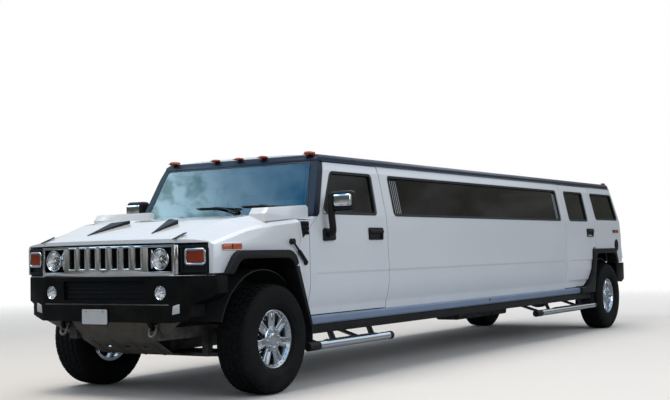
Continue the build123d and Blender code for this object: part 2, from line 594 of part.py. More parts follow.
def build_skid_plate():
    """Bent light-alloy plate from the bumper back under the front cross member."""
    line = ((815.0, 600.0), (700.0, 452.0), (500.0, 335.0), (190.0, 302.0))
    thickness = 10.0
    back = [(x, z + thickness) for x, z in reversed(line)]
    sheet = prism(from_front(line + tuple(back)), "y", -400.0, 400.0)
    mask = prism([(FRONT_X + x, y) for x, y in ((900.0, -400.0), (500.0, -380.0), (190.0, -300.0), (190.0, 300.0),
                                                (500.0, 380.0), (900.0, 400.0))], "z", 200.0, 700.0)
    holes = [rod((FRONT_X + 600, y, 250), (FRONT_X + 600, y, 700), 26.0) for y in (-200.0, 0.0, 200.0)]
    plate = sheet & mask
    for hole in holes:
        plate = plate - hole
    keep("skid_plate", one(plate))


# ---------------------------------------------------------------- black side mouldings
def build_cladding():
    """Lower front legs and whole rear arches, side vents, liners and sill covers."""
    y = (SIDE_Y - 80.0, FLARE_Y)
    outer, inner = arch(FRONT_ARCH_OUTER, FRONT_X, y), arch(FRONT_ARCH_INNER, FRONT_X, y)
    below = prism(from_front(((-321.0, 1006.0), (-200.0, 950.0), (-200.0, SILL_BOTTOM), (-600.0, SILL_BOTTOM),
                              (-600.0, 1128.0))), "y", *y)
    leg = (outer - inner) & below
    sill_front = FRONT_X - 507.0
    rear = arch(REAR_ARCH_OUTER, REAR_X, y) - arch(REAR_ARCH_INNER, REAR_X, y)
    rear = rear & block((REAR_X - 500, REAR_X + 1100), y, (SILL_BOTTOM, 1200.0))
    tail = block((REAR_X - 500, REAR_X - 300), (y[0] - 5, y[1] + 5), (400.0, 875.0))
    vent = prism(from_front(SIDE_VENT), "y", SIDE_Y - VENT_DEPTH, SIDE_Y + 6)
    keep("arch_mouldings", both(one(leg)), both(one(rear - tail)), both(vent))

    sill = prism(((940.0, SILL_BOTTOM), (988.0, SILL_BOTTOM), (1000.0, SILL_BOTTOM + 14), (1000.0, SILL_TOP - 12),
                  (985.0, SILL_TOP), (half_width(SILL_TOP), SILL_TOP), (half_width(520.0), 520.0)),
                 "x", REAR_X + 1010.0, sill_front)
    sill = sill - arch(FRONT_ARCH_OUTER, FRONT_X)
    keep("sill_covers", both(one(sill)))


LINER_R = 552.0
LINER_WALL = 8.0
LINER_Y = (507.0, 890.0)
FIREWALL_X = -505.0


def build_liners():
    """Front wheel liners: a half barrel over each wheel with a flat inner wall."""
    y_in, y_out = LINER_Y
    barrel = ring((FRONT_X, y_in, AXLE_Z), (FRONT_X, y_out, AXLE_Z), LINER_R, LINER_R - LINER_WALL)
    plate = rod((FRONT_X, y_in, AXLE_Z), (FRONT_X, y_in + LINER_WALL, AXLE_Z), LINER_R)
    plate = plate + block((FRONT_X + FIREWALL_X, FRONT_X - 400), (y_in, y_in + LINER_WALL), (FLOOR_TOP, 760.0))
    upper = block((FRONT_X + FIREWALL_X, FRONT_X + 600), (400, 950), (FLOOR_TOP, 1100))
    keep("wheel_liners", both(one((barrel + plate) & upper)))


# ---------------------------------------------------------------- structure
RAIL_Y = (400.0, 480.0)
RAIL_Z = (465.0, 555.0)
HITCH_Z = 500.0
HITCH_TUBE = 63.5
HITCH_HOLLOW = 50.8
HITCH_PIN_R = 8.0
HITCH_PIN_SET = 64.0       # pin ahead of the tube's mouth
CROSS_MEMBER_SPACING = 900.0
ARM_Z = (311.0, 541.0)     # middles of the lower and upper arms
KINGPIN_Y = 840.0


def build_frame():
    """Two long rails with horns and body mounts, and the cross members, axle cradle and hitch bar between them."""
    front, rear = FRONT_X + 765.0, REAR_X - 640.0
    count = int((FRONT_X - REAR_X - 1100.0) // CROSS_MEMBER_SPACING)
    first = FRONT_X - 700.0
    step = (first - (REAR_X + 400.0)) / count
    mount_places = (first, first - 2 * step, first - 4 * step, REAR_X + 400.0, REAR_X - 400.0)
    rail = block((rear, front), RAIL_Y, RAIL_Z) + block((front - 150.0, front), RAIL_Y, (RAIL_Z[0], 720.0))
    rail = rail - rod((REAR_X, 0, AXLE_Z), (REAR_X, 600, AXLE_Z), 72.0)
    for x in mount_places:
        rail = rail + rod((x, sum(RAIL_Y) / 2, RAIL_Z[1] - 2), (x, sum(RAIL_Y) / 2, FLOOR_BOTTOM), 34.0)
    keep("frame_rails", both(one(rail)))

    places = [FRONT_X + 660.0] + [first - step * index for index in range(count + 1)] + [REAR_X - 400.0]
    members = [block((x - 30, x + 30), (-RAIL_Y[0], RAIL_Y[0]), (RAIL_Z[0] + 10, RAIL_Z[1] - 5)) for x in places]
    cradle = block((FRONT_X - 190, FRONT_X + 190), (-RAIL_Y[1], RAIL_Y[1]), (ARM_Z[0] - 14, ARM_Z[0] + 14))
    for side in (LEFT, RIGHT):
        y = tuple(sorted(side * v for v in (RAIL_Y[0] + 10, RAIL_Y[1] - 10)))
        for x in (-180.0, 120.0):
            cradle = cradle + block((FRONT_X + x, FRONT_X + x + 60), y, (ARM_Z[0], RAIL_Z[0]))
    mouth = REAR_X - REAR_OVERHANG + 14.0
    half, hollow = HITCH_TUBE / 2, HITCH_HOLLOW / 2
    bar = block((rear + 10, rear + 70), (-RAIL_Y[0], RAIL_Y[0]), (HITCH_Z - 30, HITCH_Z + 30))
    tube = block((mouth, rear + 70), (-half, half), (HITCH_Z - half, HITCH_Z + half))
    hitch = bar + tube - block((mouth - 5, mouth + 160), (-hollow, hollow), (HITCH_Z - hollow, HITCH_Z + hollow))
    pin_x = mouth + HITCH_PIN_SET
    hitch = hitch - rod((pin_x, -60, HITCH_Z), (pin_x, 60, HITCH_Z), HITCH_PIN_R)
    keep("frame_members", members, one(cradle), one(hitch))


TUB_R = 500.0
TUB_WALL = 8.0
TUB_Y = 690.0


def build_floor():
    """Flat floor with a half-barrel tub over each rear wheel."""
    front, rear = FRONT_X + FIREWALL_X - 30.0, REAR_X - 615.0
    floor = block((rear, front), (-880.0, 880.0), (FLOOR_BOTTOM, FLOOR_TOP))
    for side in (LEFT, RIGHT):
        y_in, y_out = side * TUB_Y, side * 905.0
        tub = rod((REAR_X, y_in, AXLE_Z), (REAR_X, y_out, AXLE_Z), TUB_R + TUB_WALL)
        tub = tub & block((REAR_X - 600, REAR_X + 600), tuple(sorted((y_in, y_out))), (FLOOR_BOTTOM, 1000))
        space = rod((REAR_X, y_in + side * TUB_WALL, AXLE_Z), (REAR_X, y_out + side * 100, AXLE_Z), TUB_R)
        well = block((REAR_X - 600, REAR_X + 600), tuple(sorted((y_in, y_out + side * 100))), (300, FLOOR_TOP + 5))
        floor = floor - (well & rod((REAR_X, y_in, AXLE_Z), (REAR_X, y_out + side * 100, AXLE_Z), TUB_R + TUB_WALL))
        floor = floor + (tub - space)
    keep("floor_pan", one(floor))

    half = [(half_width(z, WALL_INSIDE), z) for z in (FLOOR_BOTTOM, FLOOR_TOP, 640.0, 1350.0)]
    outline = half + [(-y, z) for y, z in reversed(half)]
    firewall = prism(outline, "x", FRONT_X + FIREWALL_X - 30, FRONT_X + FIREWALL_X)
    behind_door = half_width(1350.0, WALL_INSIDE) - GAP
    foot_x = FRONT_X + SHIELD_FOOT[0]
    cowl = block((foot_x - 60, FRONT_X + FIREWALL_X - 30), (-behind_door, behind_door), (1310, 1350))
    shield_foot = block((foot_x - SHIELD_THICKNESS, foot_x), (-behind_door, behind_door), (1350, SHIELD_FOOT[1]))
    x = PARTITION_X
    half = [(half_width(z, WALL_INSIDE), z) for z in (FLOOR_TOP, 640.0, BELT_Z, ROOF_JOINT)]
    half = half + [(790.0, ROOF_JOINT), (790.0, ROOF_JOINT + 10)]
    outline = half + [(-y, z) for y, z in reversed(half)]
    partition = prism(outline, "x", x - 35, x)
    partition = partition - block((x - 60, x + 60), (-440.0, 440.0), (1180.0, 1640.0))
    valance = block((REAR_X - 650, REAR_X - 615), (-878, 878), (FLOOR_BOTTOM, TAIL_FOOT))
    keep("bulkheads", one(firewall + cowl + shield_foot), one(partition), one(valance))


PARTITION_X = FRONT_X - 1935.0


def build_engine():
    """Engine and gearbox as one plain mass between the rails."""
    side = from_front(((330.0, 640.0), (330.0, 1120.0), (-380.0, 1150.0), (-400.0, 640.0), (-500.0, 545.0),
                       (-1150.0, 540.0), (-1150.0, 400.0), (-520.0, 340.0), (280.0, 345.0)))
    mass = prism(side, "y", -300.0, 300.0)
    mask = block((FRONT_X - 400, FRONT_X + 400), (-300, 300), (566, 1200)) \
        + block((FRONT_X - 1200, FRONT_X + 300), (-170, 170), (340, 600))
    cradle = block((FRONT_X - 205, FRONT_X + 205), (-320, 320), (200, 345))
    mass = (mass & mask) - cradle
    mounts = [block((FRONT_X - 60, FRONT_X + 60), tuple(sorted((side_ * 290.0, side_ * 420.0))), (RAIL_Z[1], 640.0))
              for side_ in (LEFT, RIGHT)]
    for item in mounts:
        mass = mass + item
    cross_x = FRONT_X - 700.0
    mass = mass - block((cross_x - 34, cross_x + 34), (-400, 400), (RAIL_Z[0] + 6, RAIL_Z[1] + 5))
    keep("engine_block", one(mass))


def build_rear_bumper():
    """Black step bumper, thick enough to stand on."""
    side = from_rear(((-650.0, 871.0), (-REAR_OVERHANG, 871.0), (-REAR_OVERHANG, 740.0), (-785.0, 640.0),
                      (-650.0, 604.0)))
    body = prism(side, "y", -985.0, 985.0)
    plan = [(REAR_X + x, y) for x, y in ((-650.0, 0.0), (-REAR_OVERHANG, 0.0), (-REAR_OVERHANG, 800.0),
                                         (-790.0, 970.0), (-650.0, 985.0))]
    mask = prism(plan, "z", 500, 950)
    body = body & (mask + mirrored(mask))
    for side_ in (LEFT, RIGHT):
        y = tuple(sorted((side_ * 906.0, side_ * 985.0)))
        wing = prism(from_rear(((-650.0, 871.0), (-650.0, 604.0), (-450.0, 640.0), (-450.0, 871.0))), "y", *y)
        body = body + wing
    step = block((REAR_X - REAR_OVERHANG + 25, REAR_X - 690), (-520.0, 520.0), (861.0, 880.0))
    keep("rear_bumper", one(body - step))

    lamp = block((REAR_X - 700, REAR_X - 625), TAIL_LAMP_Y, TAIL_LAMP_Z)
    outside = tail_strip(900.0, 1400.0, 700.0, 990.0)
    shifted = outside.moved(Location((-8.0, 0, 0)))
    lamp = one(lamp & (outside + shifted))
    markers = [rear_roof_marker(side_) for side_ in (LEFT, RIGHT)]
    keep("tail_lamps", both(lamp), markers)


def rear_roof_marker(side):
    x, y = REAR_X - 480.0, side * 812.0
    base = block((x - 30, x + 30), (y - 22, y + 22), (ROOF_RAIL_TOP, ROOF_RAIL_TOP + 24))
    return fillet(base.edges().filter_by(Axis.Z), 12.0)


# ---------------------------------------------------------------- running gear
def build_wheel(x, side, tyre_name, rim_name):
    """One wheel: tyre, and a seven-spoke rim whose bore takes the hub spindle."""
    half = TYRE_WIDTH / 2
    tread = TYRE_TREAD_WIDTH / 2
    lip = RIM_WIDTH / 2
    # Columns: distance from the wheel's middle plane, radius.
    outline = [(-lip + 14, BEAD_R), (-lip + 11, RIM_FLANGE_R - 2.5), (-lip - 4, RIM_FLANGE_R + 1),
               (-half + 6, 285.0), (-half, 325.0), (-half + 8, 370.0), (-tread - 8, 410.0),
               (-tread + 12, TYRE_R - 5), (-tread * 0.45, TYRE_R)]
    outline = outline + [(-u, r) for u, r in reversed(outline)]
    face = Face(Wire.make_polygon([(x, side * WHEEL_Y + u, AXLE_Z + r) for u, r in outline]))
    spin = Axis((x, WHEEL_Y * side, AXLE_Z), (0, 1, 0))
    keep(tyre_name, Solid.revolve(face, 360, spin))

    # Barrel, outboard side positive. Columns: offset, radius.
    lip_out, lip_in = lip, -lip
    barrel = [(lip_out, RIM_FLANGE_R - 4), (lip_out, BEAD_R - 16), (lip_out - 60, BEAD_R - 24),
              (lip_in + 30, BEAD_R - 20), (lip_in, BEAD_R - 14), (lip_in, RIM_FLANGE_R - 4),
              (lip_in + 10, RIM_FLANGE_R - 4), (lip_in + 13, BEAD_R), (lip_in + 34, BEAD_R),
              (lip_in + 60, BEAD_R - 8), (lip_out - 60, BEAD_R - 8), (lip_out - 34, BEAD_R), (lip_out - 13, BEAD_R),
              (lip_out - 10, RIM_FLANGE_R - 4)]
    face = Face(Wire.make_polygon([(x, side * (WHEEL_Y + u), AXLE_Z + r) for u, r in barrel]))
    rim = Solid.revolve(face, 360, spin)
    hub_out = side * (WHEEL_Y + 92.0)
    hub_in = side * (WHEEL_Y + 30.0)
    hub = rod((x, hub_in, AXLE_Z), (x, hub_out, AXLE_Z), 84.0)
    spokes = spoke_star(x, side)
    bore = rod((x, hub_in - side, AXLE_Z), (x, side * (WHEEL_Y + 70.0), AXLE_Z), SPINDLE_R + RUNNING_GAP)
    keep(rim_name, one(rim + hub + spokes - bore))


SPINDLE_R = 38.0


def spoke_star(x, side):
    """Double-ridged spokes between the hub and the barrel."""
    root, tip = 70.0, BEAD_R - 14
    back, front = side * (WHEEL_Y + 52.0), side * (WHEEL_Y + 96.0)
    y_low, y_high = sorted((back, front))
    ridge = prism(((-31.0, root), (-40.0, tip), (40.0, tip), (31.0, root)), "y", y_low, y_high)
    floor = sorted((side * (WHEEL_Y + 84.0), side * (WHEEL_Y + 110.0)))
    groove = prism(((-7.0, root + 30), (-15.0, tip - 14), (15.0, tip - 14), (7.0, root + 30)), "y", *floor)
    spoke = one(ridge - groove)
    star = []
    for index in range(SPOKE_COUNT):
        turned = spoke.rotate(Axis.Y, index * 360.0 / SPOKE_COUNT)
        star.append(turned.moved(Location((x, 0, AXLE_Z))))
    return star


def build_knuckle(side, name):
    """Upright with its spindle, steering arm and the pins its arms carry."""
    x = FRONT_X
    y_pin = side * KINGPIN_Y
    upright = block((x - 42, x + 42), tuple(sorted((side * 800.0, side * 880.0))), (ARM_Z[0] + 24, ARM_Z[1] - 24))
    spindle = rod((x, side * 870.0, AXLE_Z), (x, side * (WHEEL_Y + 68.0), AXLE_Z), SPINDLE_R)
    pins = rod((x, y_pin, ARM_Z[0] - 16), (x, y_pin, ARM_Z[1] + 14), 12.0)
    lever = block((x - 150, x - 30), tuple(sorted((side * 800.0, side * 830.0))), (AXLE_Z - 60, AXLE_Z - 36))
    disc = rod((x, side * 880.0, AXLE_Z), (x, side * 905.0, AXLE_Z), 100.0)
    keep(name, one(upright + spindle + pins + lever + disc))


def wishbone(z, thickness, reach_in, spread):
    """Left A-arm: pivots on the frame at its inner end, eye for the kingpin at its outer end."""
    x = FRONT_X
    plan = ((x - spread, reach_in), (x - spread + 70, reach_in), (x, KINGPIN_Y - 110), (x + spread - 70, reach_in),
            (x + spread, reach_in), (x + 34, KINGPIN_Y - 20), (x - 34, KINGPIN_Y - 20))
    arm = prism(plan, "z", z - thickness / 2, z + thickness / 2)
    eye = rod((x, KINGPIN_Y, z - thickness / 2), (x, KINGPIN_Y, z + thickness / 2), 34.0)
    hole = rod((x, KINGPIN_Y, z - 50), (x, KINGPIN_Y, z + 50), 12.0 + RUNNING_GAP)
    return one(arm + eye - hole)


SPRING_SET = -110.0         # coil behind the rear axle
SPRING_PAD_Z = 404.0


def build_suspension():
    """Front arms, and the trailing links and coils of the rear axle."""
    lower = wishbone(ARM_Z[0], 28.0, RAIL_Y[1], 170.0)
    upper = wishbone(ARM_Z[1], 24.0, RAIL_Y[1], 150.0)
    y_link = 515.0
    link = rod((REAR_X + 93, y_link, AXLE_Z - 15), (REAR_X + 700, y_link, 470.0), 22.0)
    bracket = block((REAR_X + 670, REAR_X + 730), (RAIL_Y[1], y_link + 20), (RAIL_Z[0] - 25, RAIL_Z[1] - 20))
    coil = rod((REAR_X + SPRING_SET, 440.0, SPRING_PAD_Z), (REAR_X + SPRING_SET, 440.0, RAIL_Z[0]), 38.0)
    keep("suspension", both(lower), both(upper), both(one(link + bracket)), both(coil))


def build_rear_axle():
    """Live axle with its final drive, hub spindles and the long jointed propshaft."""
    tube = rod((REAR_X, -WHEEL_Y - 68, AXLE_Z), (REAR_X, WHEEL_Y + 68, AXLE_Z), SPINDLE_R)
    casing = rod((REAR_X, -WHEEL_Y + 90, AXLE_Z), (REAR_X, WHEEL_Y - 90, AXLE_Z), 48.0)
    drum = rod((REAR_X - 60, 0, AXLE_Z), (REAR_X + 60, 0, AXLE_Z), 165.0)
    drum = drum & block((REAR_X - 200, REAR_X + 200), (-200, 200), (260, 555))
    nose = rod((REAR_X, 0, AXLE_Z), (REAR_X + 260, 0, AXLE_Z), 80.0)
    brake = [rod((REAR_X, side * (WHEEL_Y - 20), AXLE_Z), (REAR_X, side * (WHEEL_Y + 12), AXLE_Z), 150.0)
             for side in (LEFT, RIGHT)]
    pads = []
    for side in (LEFT, RIGHT):
        pads.append(block((REAR_X, REAR_X + 90), tuple(sorted((side * 490.0, side * 540.0))), (395, 450)))
        pads.append(block((REAR_X + SPRING_SET - 45, REAR_X), tuple(sorted((side * 395.0, side * 485.0))),
                          (SPRING_PAD_Z - 18, SPRING_PAD_Z)))
    axle = tube + casing + drum + nose
    for item in brake + pads:
        axle = axle + item
    keep("rear_axle", one(axle))

    shaft_start, shaft_end = FRONT_X - 1150.0, REAR_X + 260.0
    sections = 4
    length = (shaft_start - shaft_end) / sections
    shaft = rod((shaft_end, 0, AXLE_Z), (shaft_start, 0, AXLE_Z), 36.0)
    for index in range(1, sections):
        x = shaft_end + index * length
        hanger = rod((x - 40, 0, AXLE_Z), (x + 40, 0, AXLE_Z), 62.0) \
            + block((x - 40, x + 40), (-RAIL_Y[0], RAIL_Y[0]), (RAIL_Z[0], RAIL_Z[0] + 22))
        shaft = shaft + hanger
    keep("propshaft", one(shaft))


def build_under_body():
    """Exhaust on the right, fuel tank on the left."""
    y, low_z, over_axle_z = -600.0, 398.0, 522.0
    start, end = FRONT_X - 1250.0, REAR_X - 600.0
    route = ((start, -250.0, 440.0), (start - 350, y, low_z), (REAR_X + 900, y, low_z),
             (REAR_X + 320, y, over_axle_z), (REAR_X - 260, y, over_axle_z), (end, y, 440.0))
    path = FilletPolyline([Vector(*point) for point in route], radius=(90.0, 90.0, 90.0, 90.0))
    pipe = sweep(Plane(path @ 0, z_dir=path % 0) * Circle(30.0), path=path)
    muffler = rod((REAR_X + 3800, y, low_z), (REAR_X + 2800, y, low_z), 100.0)
    hangers = [block((x - 15, x + 15), (y, -RAIL_Y[1]), (low_z + 60, RAIL_Z[0] + 20))
               for x in (REAR_X + 3600, REAR_X + 3000)]
    exhaust = pipe.solids()[0] + muffler
    for item in hangers:
        exhaust = exhaust + item
    keep("exhaust", one(exhaust))

    tank = block((REAR_X + 1950, REAR_X + 3250), (90.0, 385.0), (300.0, RAIL_Z[0] + 8))
    tank = fillet(tank.edges().filter_by(Axis.X), 30.0)
    straps = [block((x - 20, x + 20), (90.0, RAIL_Y[0]), (RAIL_Z[0] - 5, RAIL_Z[0] + 8))
              for x in (REAR_X + 2200, REAR_X + 3000)]
    for item in straps:
        tank = tank + item
    keep("fuel_tank", one(tank))


STEP_Y, STEP_Z, STEP_R = 1000.0, 334.0, 36.0


def build_side_steps():
    """Round step bars on two brackets each, a short one by each door."""
    # Columns: front end, rear end.
    bars = ((FRONT_X - 465.0, FRONT_X - 1824.0), (REAR_X + 2477.0, REAR_X + 510.0))
    steps = []
    for front, rear in bars:
        step = rod((rear, STEP_Y, STEP_Z), (front, STEP_Y, STEP_Z), STEP_R)
        for x in (front - 200.0, rear + 480.0):
            step = step + rod((x, STEP_Y, STEP_Z), (x, RAIL_Y[1] - 30, RAIL_Z[0] + 40), 17.0)
        steps.append(one(step - block((rear, front), (0.0, RAIL_Y[1]), (300, 700))))
    keep("side_steps", *[both(step) for step in steps])


# ---------------------------------------------------------------- inside
def build_inside():
    """Dashboard and steering wheel, seats, and the lounge's benches and bar."""
    front = FRONT_X + FIREWALL_X - 30
    x = front - 130.0
    dash = prism([(front, 960.0), (front, 1308.0)]
                 + [(x + u, z) for u, z in ((-130.0, 1302.0), (-230.0, 1290.0), (-290.0, 1200.0), (-230.0, 980.0))],
                 "y", -895.0, 895.0)
    column = rod((x - 250, 430.0, 1170.0), (x - 440, 430.0, 1235.0), 26.0)
    centre, normal = Vector(x - 440, 430.0, 1235.0), Vector(-190, 0, 65)
    plane = Plane(centre, z_dir=normal)
    wheel = Solid.make_torus(185.0, 15.0, plane)
    corner = centre - plane.x_dir * 185 - plane.y_dir * 17 - plane.z_dir * 7
    spokes = Solid.make_box(370.0, 34.0, 14.0, Plane(corner, x_dir=plane.x_dir, z_dir=plane.z_dir))
    keep("dashboard", one(dash + column + wheel + spokes))

    seats = []
    for side in (LEFT, RIGHT):
        y_low, y_high = sorted((side * 180.0, side * 690.0))
        outline = [(FRONT_X + u, z) for u, z in ((-1170.0, FLOOR_TOP), (-1150.0, 960.0), (-1180.0, 985.0),
                                                  (-1600.0, 950.0), (-1700.0, 1480.0), (-1830.0, 1470.0),
                                                  (-1760.0, 930.0), (-1740.0, FLOOR_TOP))]
        seat = prism(outline, "y", y_low, y_high)
        seats.append(seat)

    bench = prism([(y, z) for y, z in ((-875.0, FLOOR_TOP), (-330.0, FLOOR_TOP), (-310.0, 960.0), (-720.0, 940.0),
                                       (-780.0, 1340.0), (-880.0, 1340.0))], "x", REAR_X + 1560.0,
                  PARTITION_X - 120.0)
    rear = prism([(REAR_X + u, z) for u, z in ((300.0, FLOOR_TOP), (320.0, 1010.0), (-140.0, 985.0),
                                               (-230.0, 1440.0), (-360.0, 1440.0), (-360.0, FLOOR_TOP))],
                 "y", -680.0, 680.0)
    keep("seats", seats, bench, rear)

    bar = block((REAR_X + 1700.0, PARTITION_X - 300.0), (520.0, 876.0), (FLOOR_TOP, 1230.0))
    top = block((REAR_X + 1680.0, PARTITION_X - 280.0), (490.0, 890.0), (1230.0, 1262.0))
    keep("bar_cabinet", one(bar + top))


# ---------------------------------------------------------------- assembly
def build_all():
    build_side_walls()
    build_roof()
    build_doors()
    build_tailgate()
    build_windshield()
    build_hood()
    build_nose()
    build_front_bumper()
    build_skid_plate()
    build_cladding()
    build_liners()
    build_frame()
    build_floor()
    build_engine()
    build_rear_bumper()
    build_suspension()
    build_rear_axle()
    build_under_body()
    build_side_steps()
    build_inside()
    for x, side, place in ((FRONT_X, LEFT, "front_left"), (FRONT_X, RIGHT, "front_right"),
                           (REAR_X, LEFT, "rear_left"), (REAR_X, RIGHT, "rear_right")):
        build_wheel(x, side, f"tyre_{place}", f"rim_{place}")
    build_knuckle(LEFT, "knuckle_left")
    build_knuckle(RIGHT, "knuckle_right")


build_all()
os.makedirs("parts", exist_ok=True)
for node, solids in NODES.items():
    shape = solids[0] if len(solids) == 1 else Compound(children=solids)
    export_step(shape, f"parts/{node}.step")
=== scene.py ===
import bpy
import bmesh
import math
from mathutils import Matrix, Vector


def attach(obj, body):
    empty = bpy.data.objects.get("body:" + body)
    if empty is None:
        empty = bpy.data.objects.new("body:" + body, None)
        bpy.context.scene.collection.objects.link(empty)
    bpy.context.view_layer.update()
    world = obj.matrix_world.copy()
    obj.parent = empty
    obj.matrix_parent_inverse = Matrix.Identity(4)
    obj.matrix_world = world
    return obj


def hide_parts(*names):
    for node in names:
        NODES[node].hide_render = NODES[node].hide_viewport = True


# Stretch limousine, in metres. +X forward, +Y to the vehicle's left, +Z up.

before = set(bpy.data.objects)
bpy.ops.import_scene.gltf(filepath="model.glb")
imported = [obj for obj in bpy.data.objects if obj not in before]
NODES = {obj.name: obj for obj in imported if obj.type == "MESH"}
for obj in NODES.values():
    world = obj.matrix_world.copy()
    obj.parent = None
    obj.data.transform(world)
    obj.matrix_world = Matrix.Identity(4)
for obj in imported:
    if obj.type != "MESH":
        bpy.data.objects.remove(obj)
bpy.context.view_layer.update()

# ---------------------------------------------------------------- main places, from the frame
FRONT_AXLE = 3.821
REAR_AXLE = -3.869
AXLE_Z = 0.436
WHEEL_Y = 0.8815
WINDOW_TOP = 1.815
WALL = ((0.52, 0.94), (0.64, 0.945), (0.83, 0.985), (1.25, 0.985), (1.44, 0.972), (1.83, 0.895),
        (1.905, 0.868))
TAIL = ((0.88, -0.67), (1.44, -0.655), (1.88, -0.536), (1.905, -0.53))
SIDES = (("left", 1), ("right", -1))


def front(x):
    """Distance from the front axle, as a place in the frame."""
    return FRONT_AXLE + x


def rear(x):
    return REAR_AXLE + x


def along(table, value):
    """Straight reading between the rows of a table."""
    for (a, b), (c, d) in zip(table, table[1:]):
        if value <= c:
            return b + (d - b) * (value - a) / (c - a)
    return table[-1][1]


def wall_y(z):
    return along(WALL, z)


def tail_x(z):
    return rear(along(TAIL, z))


# ---------------------------------------------------------------- node groups
def new_group(name, inputs, outputs):
    group = bpy.data.node_groups.new(name, "ShaderNodeTree")
    for label, value in inputs:
        group.interface.new_socket(name=label, in_out="INPUT",
                socket_type="NodeSocketFloat").default_value = value
    for label in outputs:
        group.interface.new_socket(name=label, in_out="OUTPUT", socket_type="NodeSocketFloat")
    return Net(group), group.nodes.new("NodeGroupInput").outputs, group.nodes.new("NodeGroupOutput").inputs


def fill(node, **values):
    for key, value in values.items():
        node.inputs[key.replace("_", " ")].default_value = value
    return node


class Net:
    """Short hand for wiring shader nodes in one tree."""

    def __init__(self, tree):
        self.tree = tree

    def node(self, kind, **values):
        made = self.tree.nodes.new(kind)
        for key, value in values.items():
            if key in made.inputs:
                made.inputs[key].default_value = value
            else:
                setattr(made, key, value)
        return made

    def link(self, start, end):
        self.tree.links.new(start, end)

    def feed(self, socket, value):
        """Links another node's output to a socket, or sets a plain value or colour on it."""
        if hasattr(value, "is_linked"):
            self.link(value, socket)
        elif isinstance(value, tuple) and len(value) == 3:
            socket.default_value = (*value, 1.0)
        else:
            socket.default_value = value

    def place(self, kind="Object"):
        return self.node("ShaderNodeTexCoord").outputs[kind]

    def split(self, vector):
        made = self.node("ShaderNodeSeparateXYZ")
        self.link(vector, made.inputs[0])
        return made.outputs

    def math(self, operation, first, second, clamp=False):
        made = self.node("ShaderNodeMath", operation=operation, use_clamp=clamp)
        self.feed(made.inputs[0], first)
        self.feed(made.inputs[1], second)
        return made.outputs[0]

    def ramp(self, value, low, high, out_low=0.0, out_high=1.0):
        made = self.node("ShaderNodeMapRange", clamp=True)
        fill(made, From_Min=low, From_Max=high, To_Min=out_low, To_Max=out_high)
        self.link(value, made.inputs["Value"])
        return made.outputs["Result"]

    def mix(self, factor, first, second):
        made = self.node("ShaderNodeMix", data_type="RGBA")
        for slot, value in ((0, factor), (6, first), (7, second)):
            self.feed(made.inputs[slot], value)
        return made.outputs[2]

    def noise(self, vector, scale, detail=4.0, rough=0.55):
        made = self.node("ShaderNodeTexNoise", Detail=detail, Roughness=rough)
        self.feed(made.inputs["Scale"], scale)
        self.link(vector, made.inputs["Vector"])
        return made.outputs["Fac"]

    def dot(self, first, second):
        made = self.node("ShaderNodeVectorMath", operation="DOT_PRODUCT")
        self.link(first, made.inputs[0])
        if hasattr(second, "is_linked"):
            self.link(second, made.inputs[1])
        else:
            made.inputs[1].default_value = second
        return made.outputs["Value"]

    def blend(self, factor, first, second):
        """One shader over another."""
        made = self.node("ShaderNodeMixShader")
        for socket, value in zip(made.inputs, (factor, first, second)):
            self.link(value, socket)
        return made.outputs[0]

    def group(self, group, **values):
        return fill(self.node("ShaderNodeGroup", node_tree=group), **values).outputs


def build_grime():
    """Road dust: thickest near the ground, and broken up by noise."""
    net, start, end = new_group("road_dust", (("Top", 0.9), ("Amount", 0.5), ("Scale", 6.0)), ("Mask",))
    place = net.place()
    low = net.math("SUBTRACT", 1.0, net.math("DIVIDE", net.split(place)["Z"], start["Top"]), clamp=True)
    speck = net.ramp(net.noise(place, start["Scale"], 6.0, 0.65), 0.35, 0.7)
    net.link(net.math("MULTIPLY", net.math("MULTIPLY", low, speck), start["Amount"], clamp=True),
             end["Mask"])
    return net.tree


def build_edge():
    """Edge wear: a thin worn line where the surface turns sharply."""
    net, start, end = new_group("edge_wear", (("Width", 0.004), ("Amount", 0.6)), ("Mask",))
    bevel = net.node("ShaderNodeBevel", samples=4)
    net.link(start["Width"], bevel.inputs["Radius"])
    turn = net.ramp(net.dot(bevel.outputs[0], net.node("ShaderNodeNewGeometry").outputs["Normal"]), 0.98,
                    0.86)
    scuff = net.ramp(net.noise(net.place(), 38.0, 5.0, 0.7), 0.42, 0.62)
    net.link(net.math("MULTIPLY", net.math("MULTIPLY", turn, scuff), start["Amount"], clamp=True),
             end["Mask"])
    return net.tree


def build_grain():
    """Fine moulded grain: height for a bump, and a slow mottle for colour and gloss."""
    net, start, end = new_group("moulded_grain", (("Scale", 900.0), ("Mottle Scale", 9.0)),
            ("Height", "Mottle"))
    place = net.place()
    net.link(net.noise(place, start["Scale"], 2.0, 0.6), end["Height"])
    net.link(net.ramp(net.noise(place, start["Mottle Scale"], 5.0, 0.6), 0.3, 0.7), end["Mottle"])
    return net.tree


def build_leather():
    """Leather: pebbled cells with creases between them."""
    net, start, end = new_group("leather_pebble", (("Scale", 260.0),), ("Height", "Mottle"))
    place = net.place()
    cells = net.node("ShaderNodeTexVoronoi", feature="DISTANCE_TO_EDGE")
    net.link(place, cells.inputs["Vector"])
    net.link(start["Scale"], cells.inputs["Scale"])
    net.link(net.ramp(cells.outputs["Distance"], 0.0, 0.25), end["Height"])
    net.link(net.ramp(net.noise(place, 14.0, 5.0), 0.3, 0.7), end["Mottle"])
    return net.tree


DUST, EDGE, GRAIN, PEBBLE = build_grime(), build_edge(), build_grain(), build_leather()


# ---------------------------------------------------------------- materials
def new_material(name, colour=None, alpha=1.0):
    """Empty material with its net and its main shader."""
    made = bpy.data.materials.new(name)
    made.use_nodes = True
    if colour:
        made.diffuse_color = (*colour, alpha)
    return made, Net(made.node_tree), made.node_tree.nodes["Principled BSDF"]


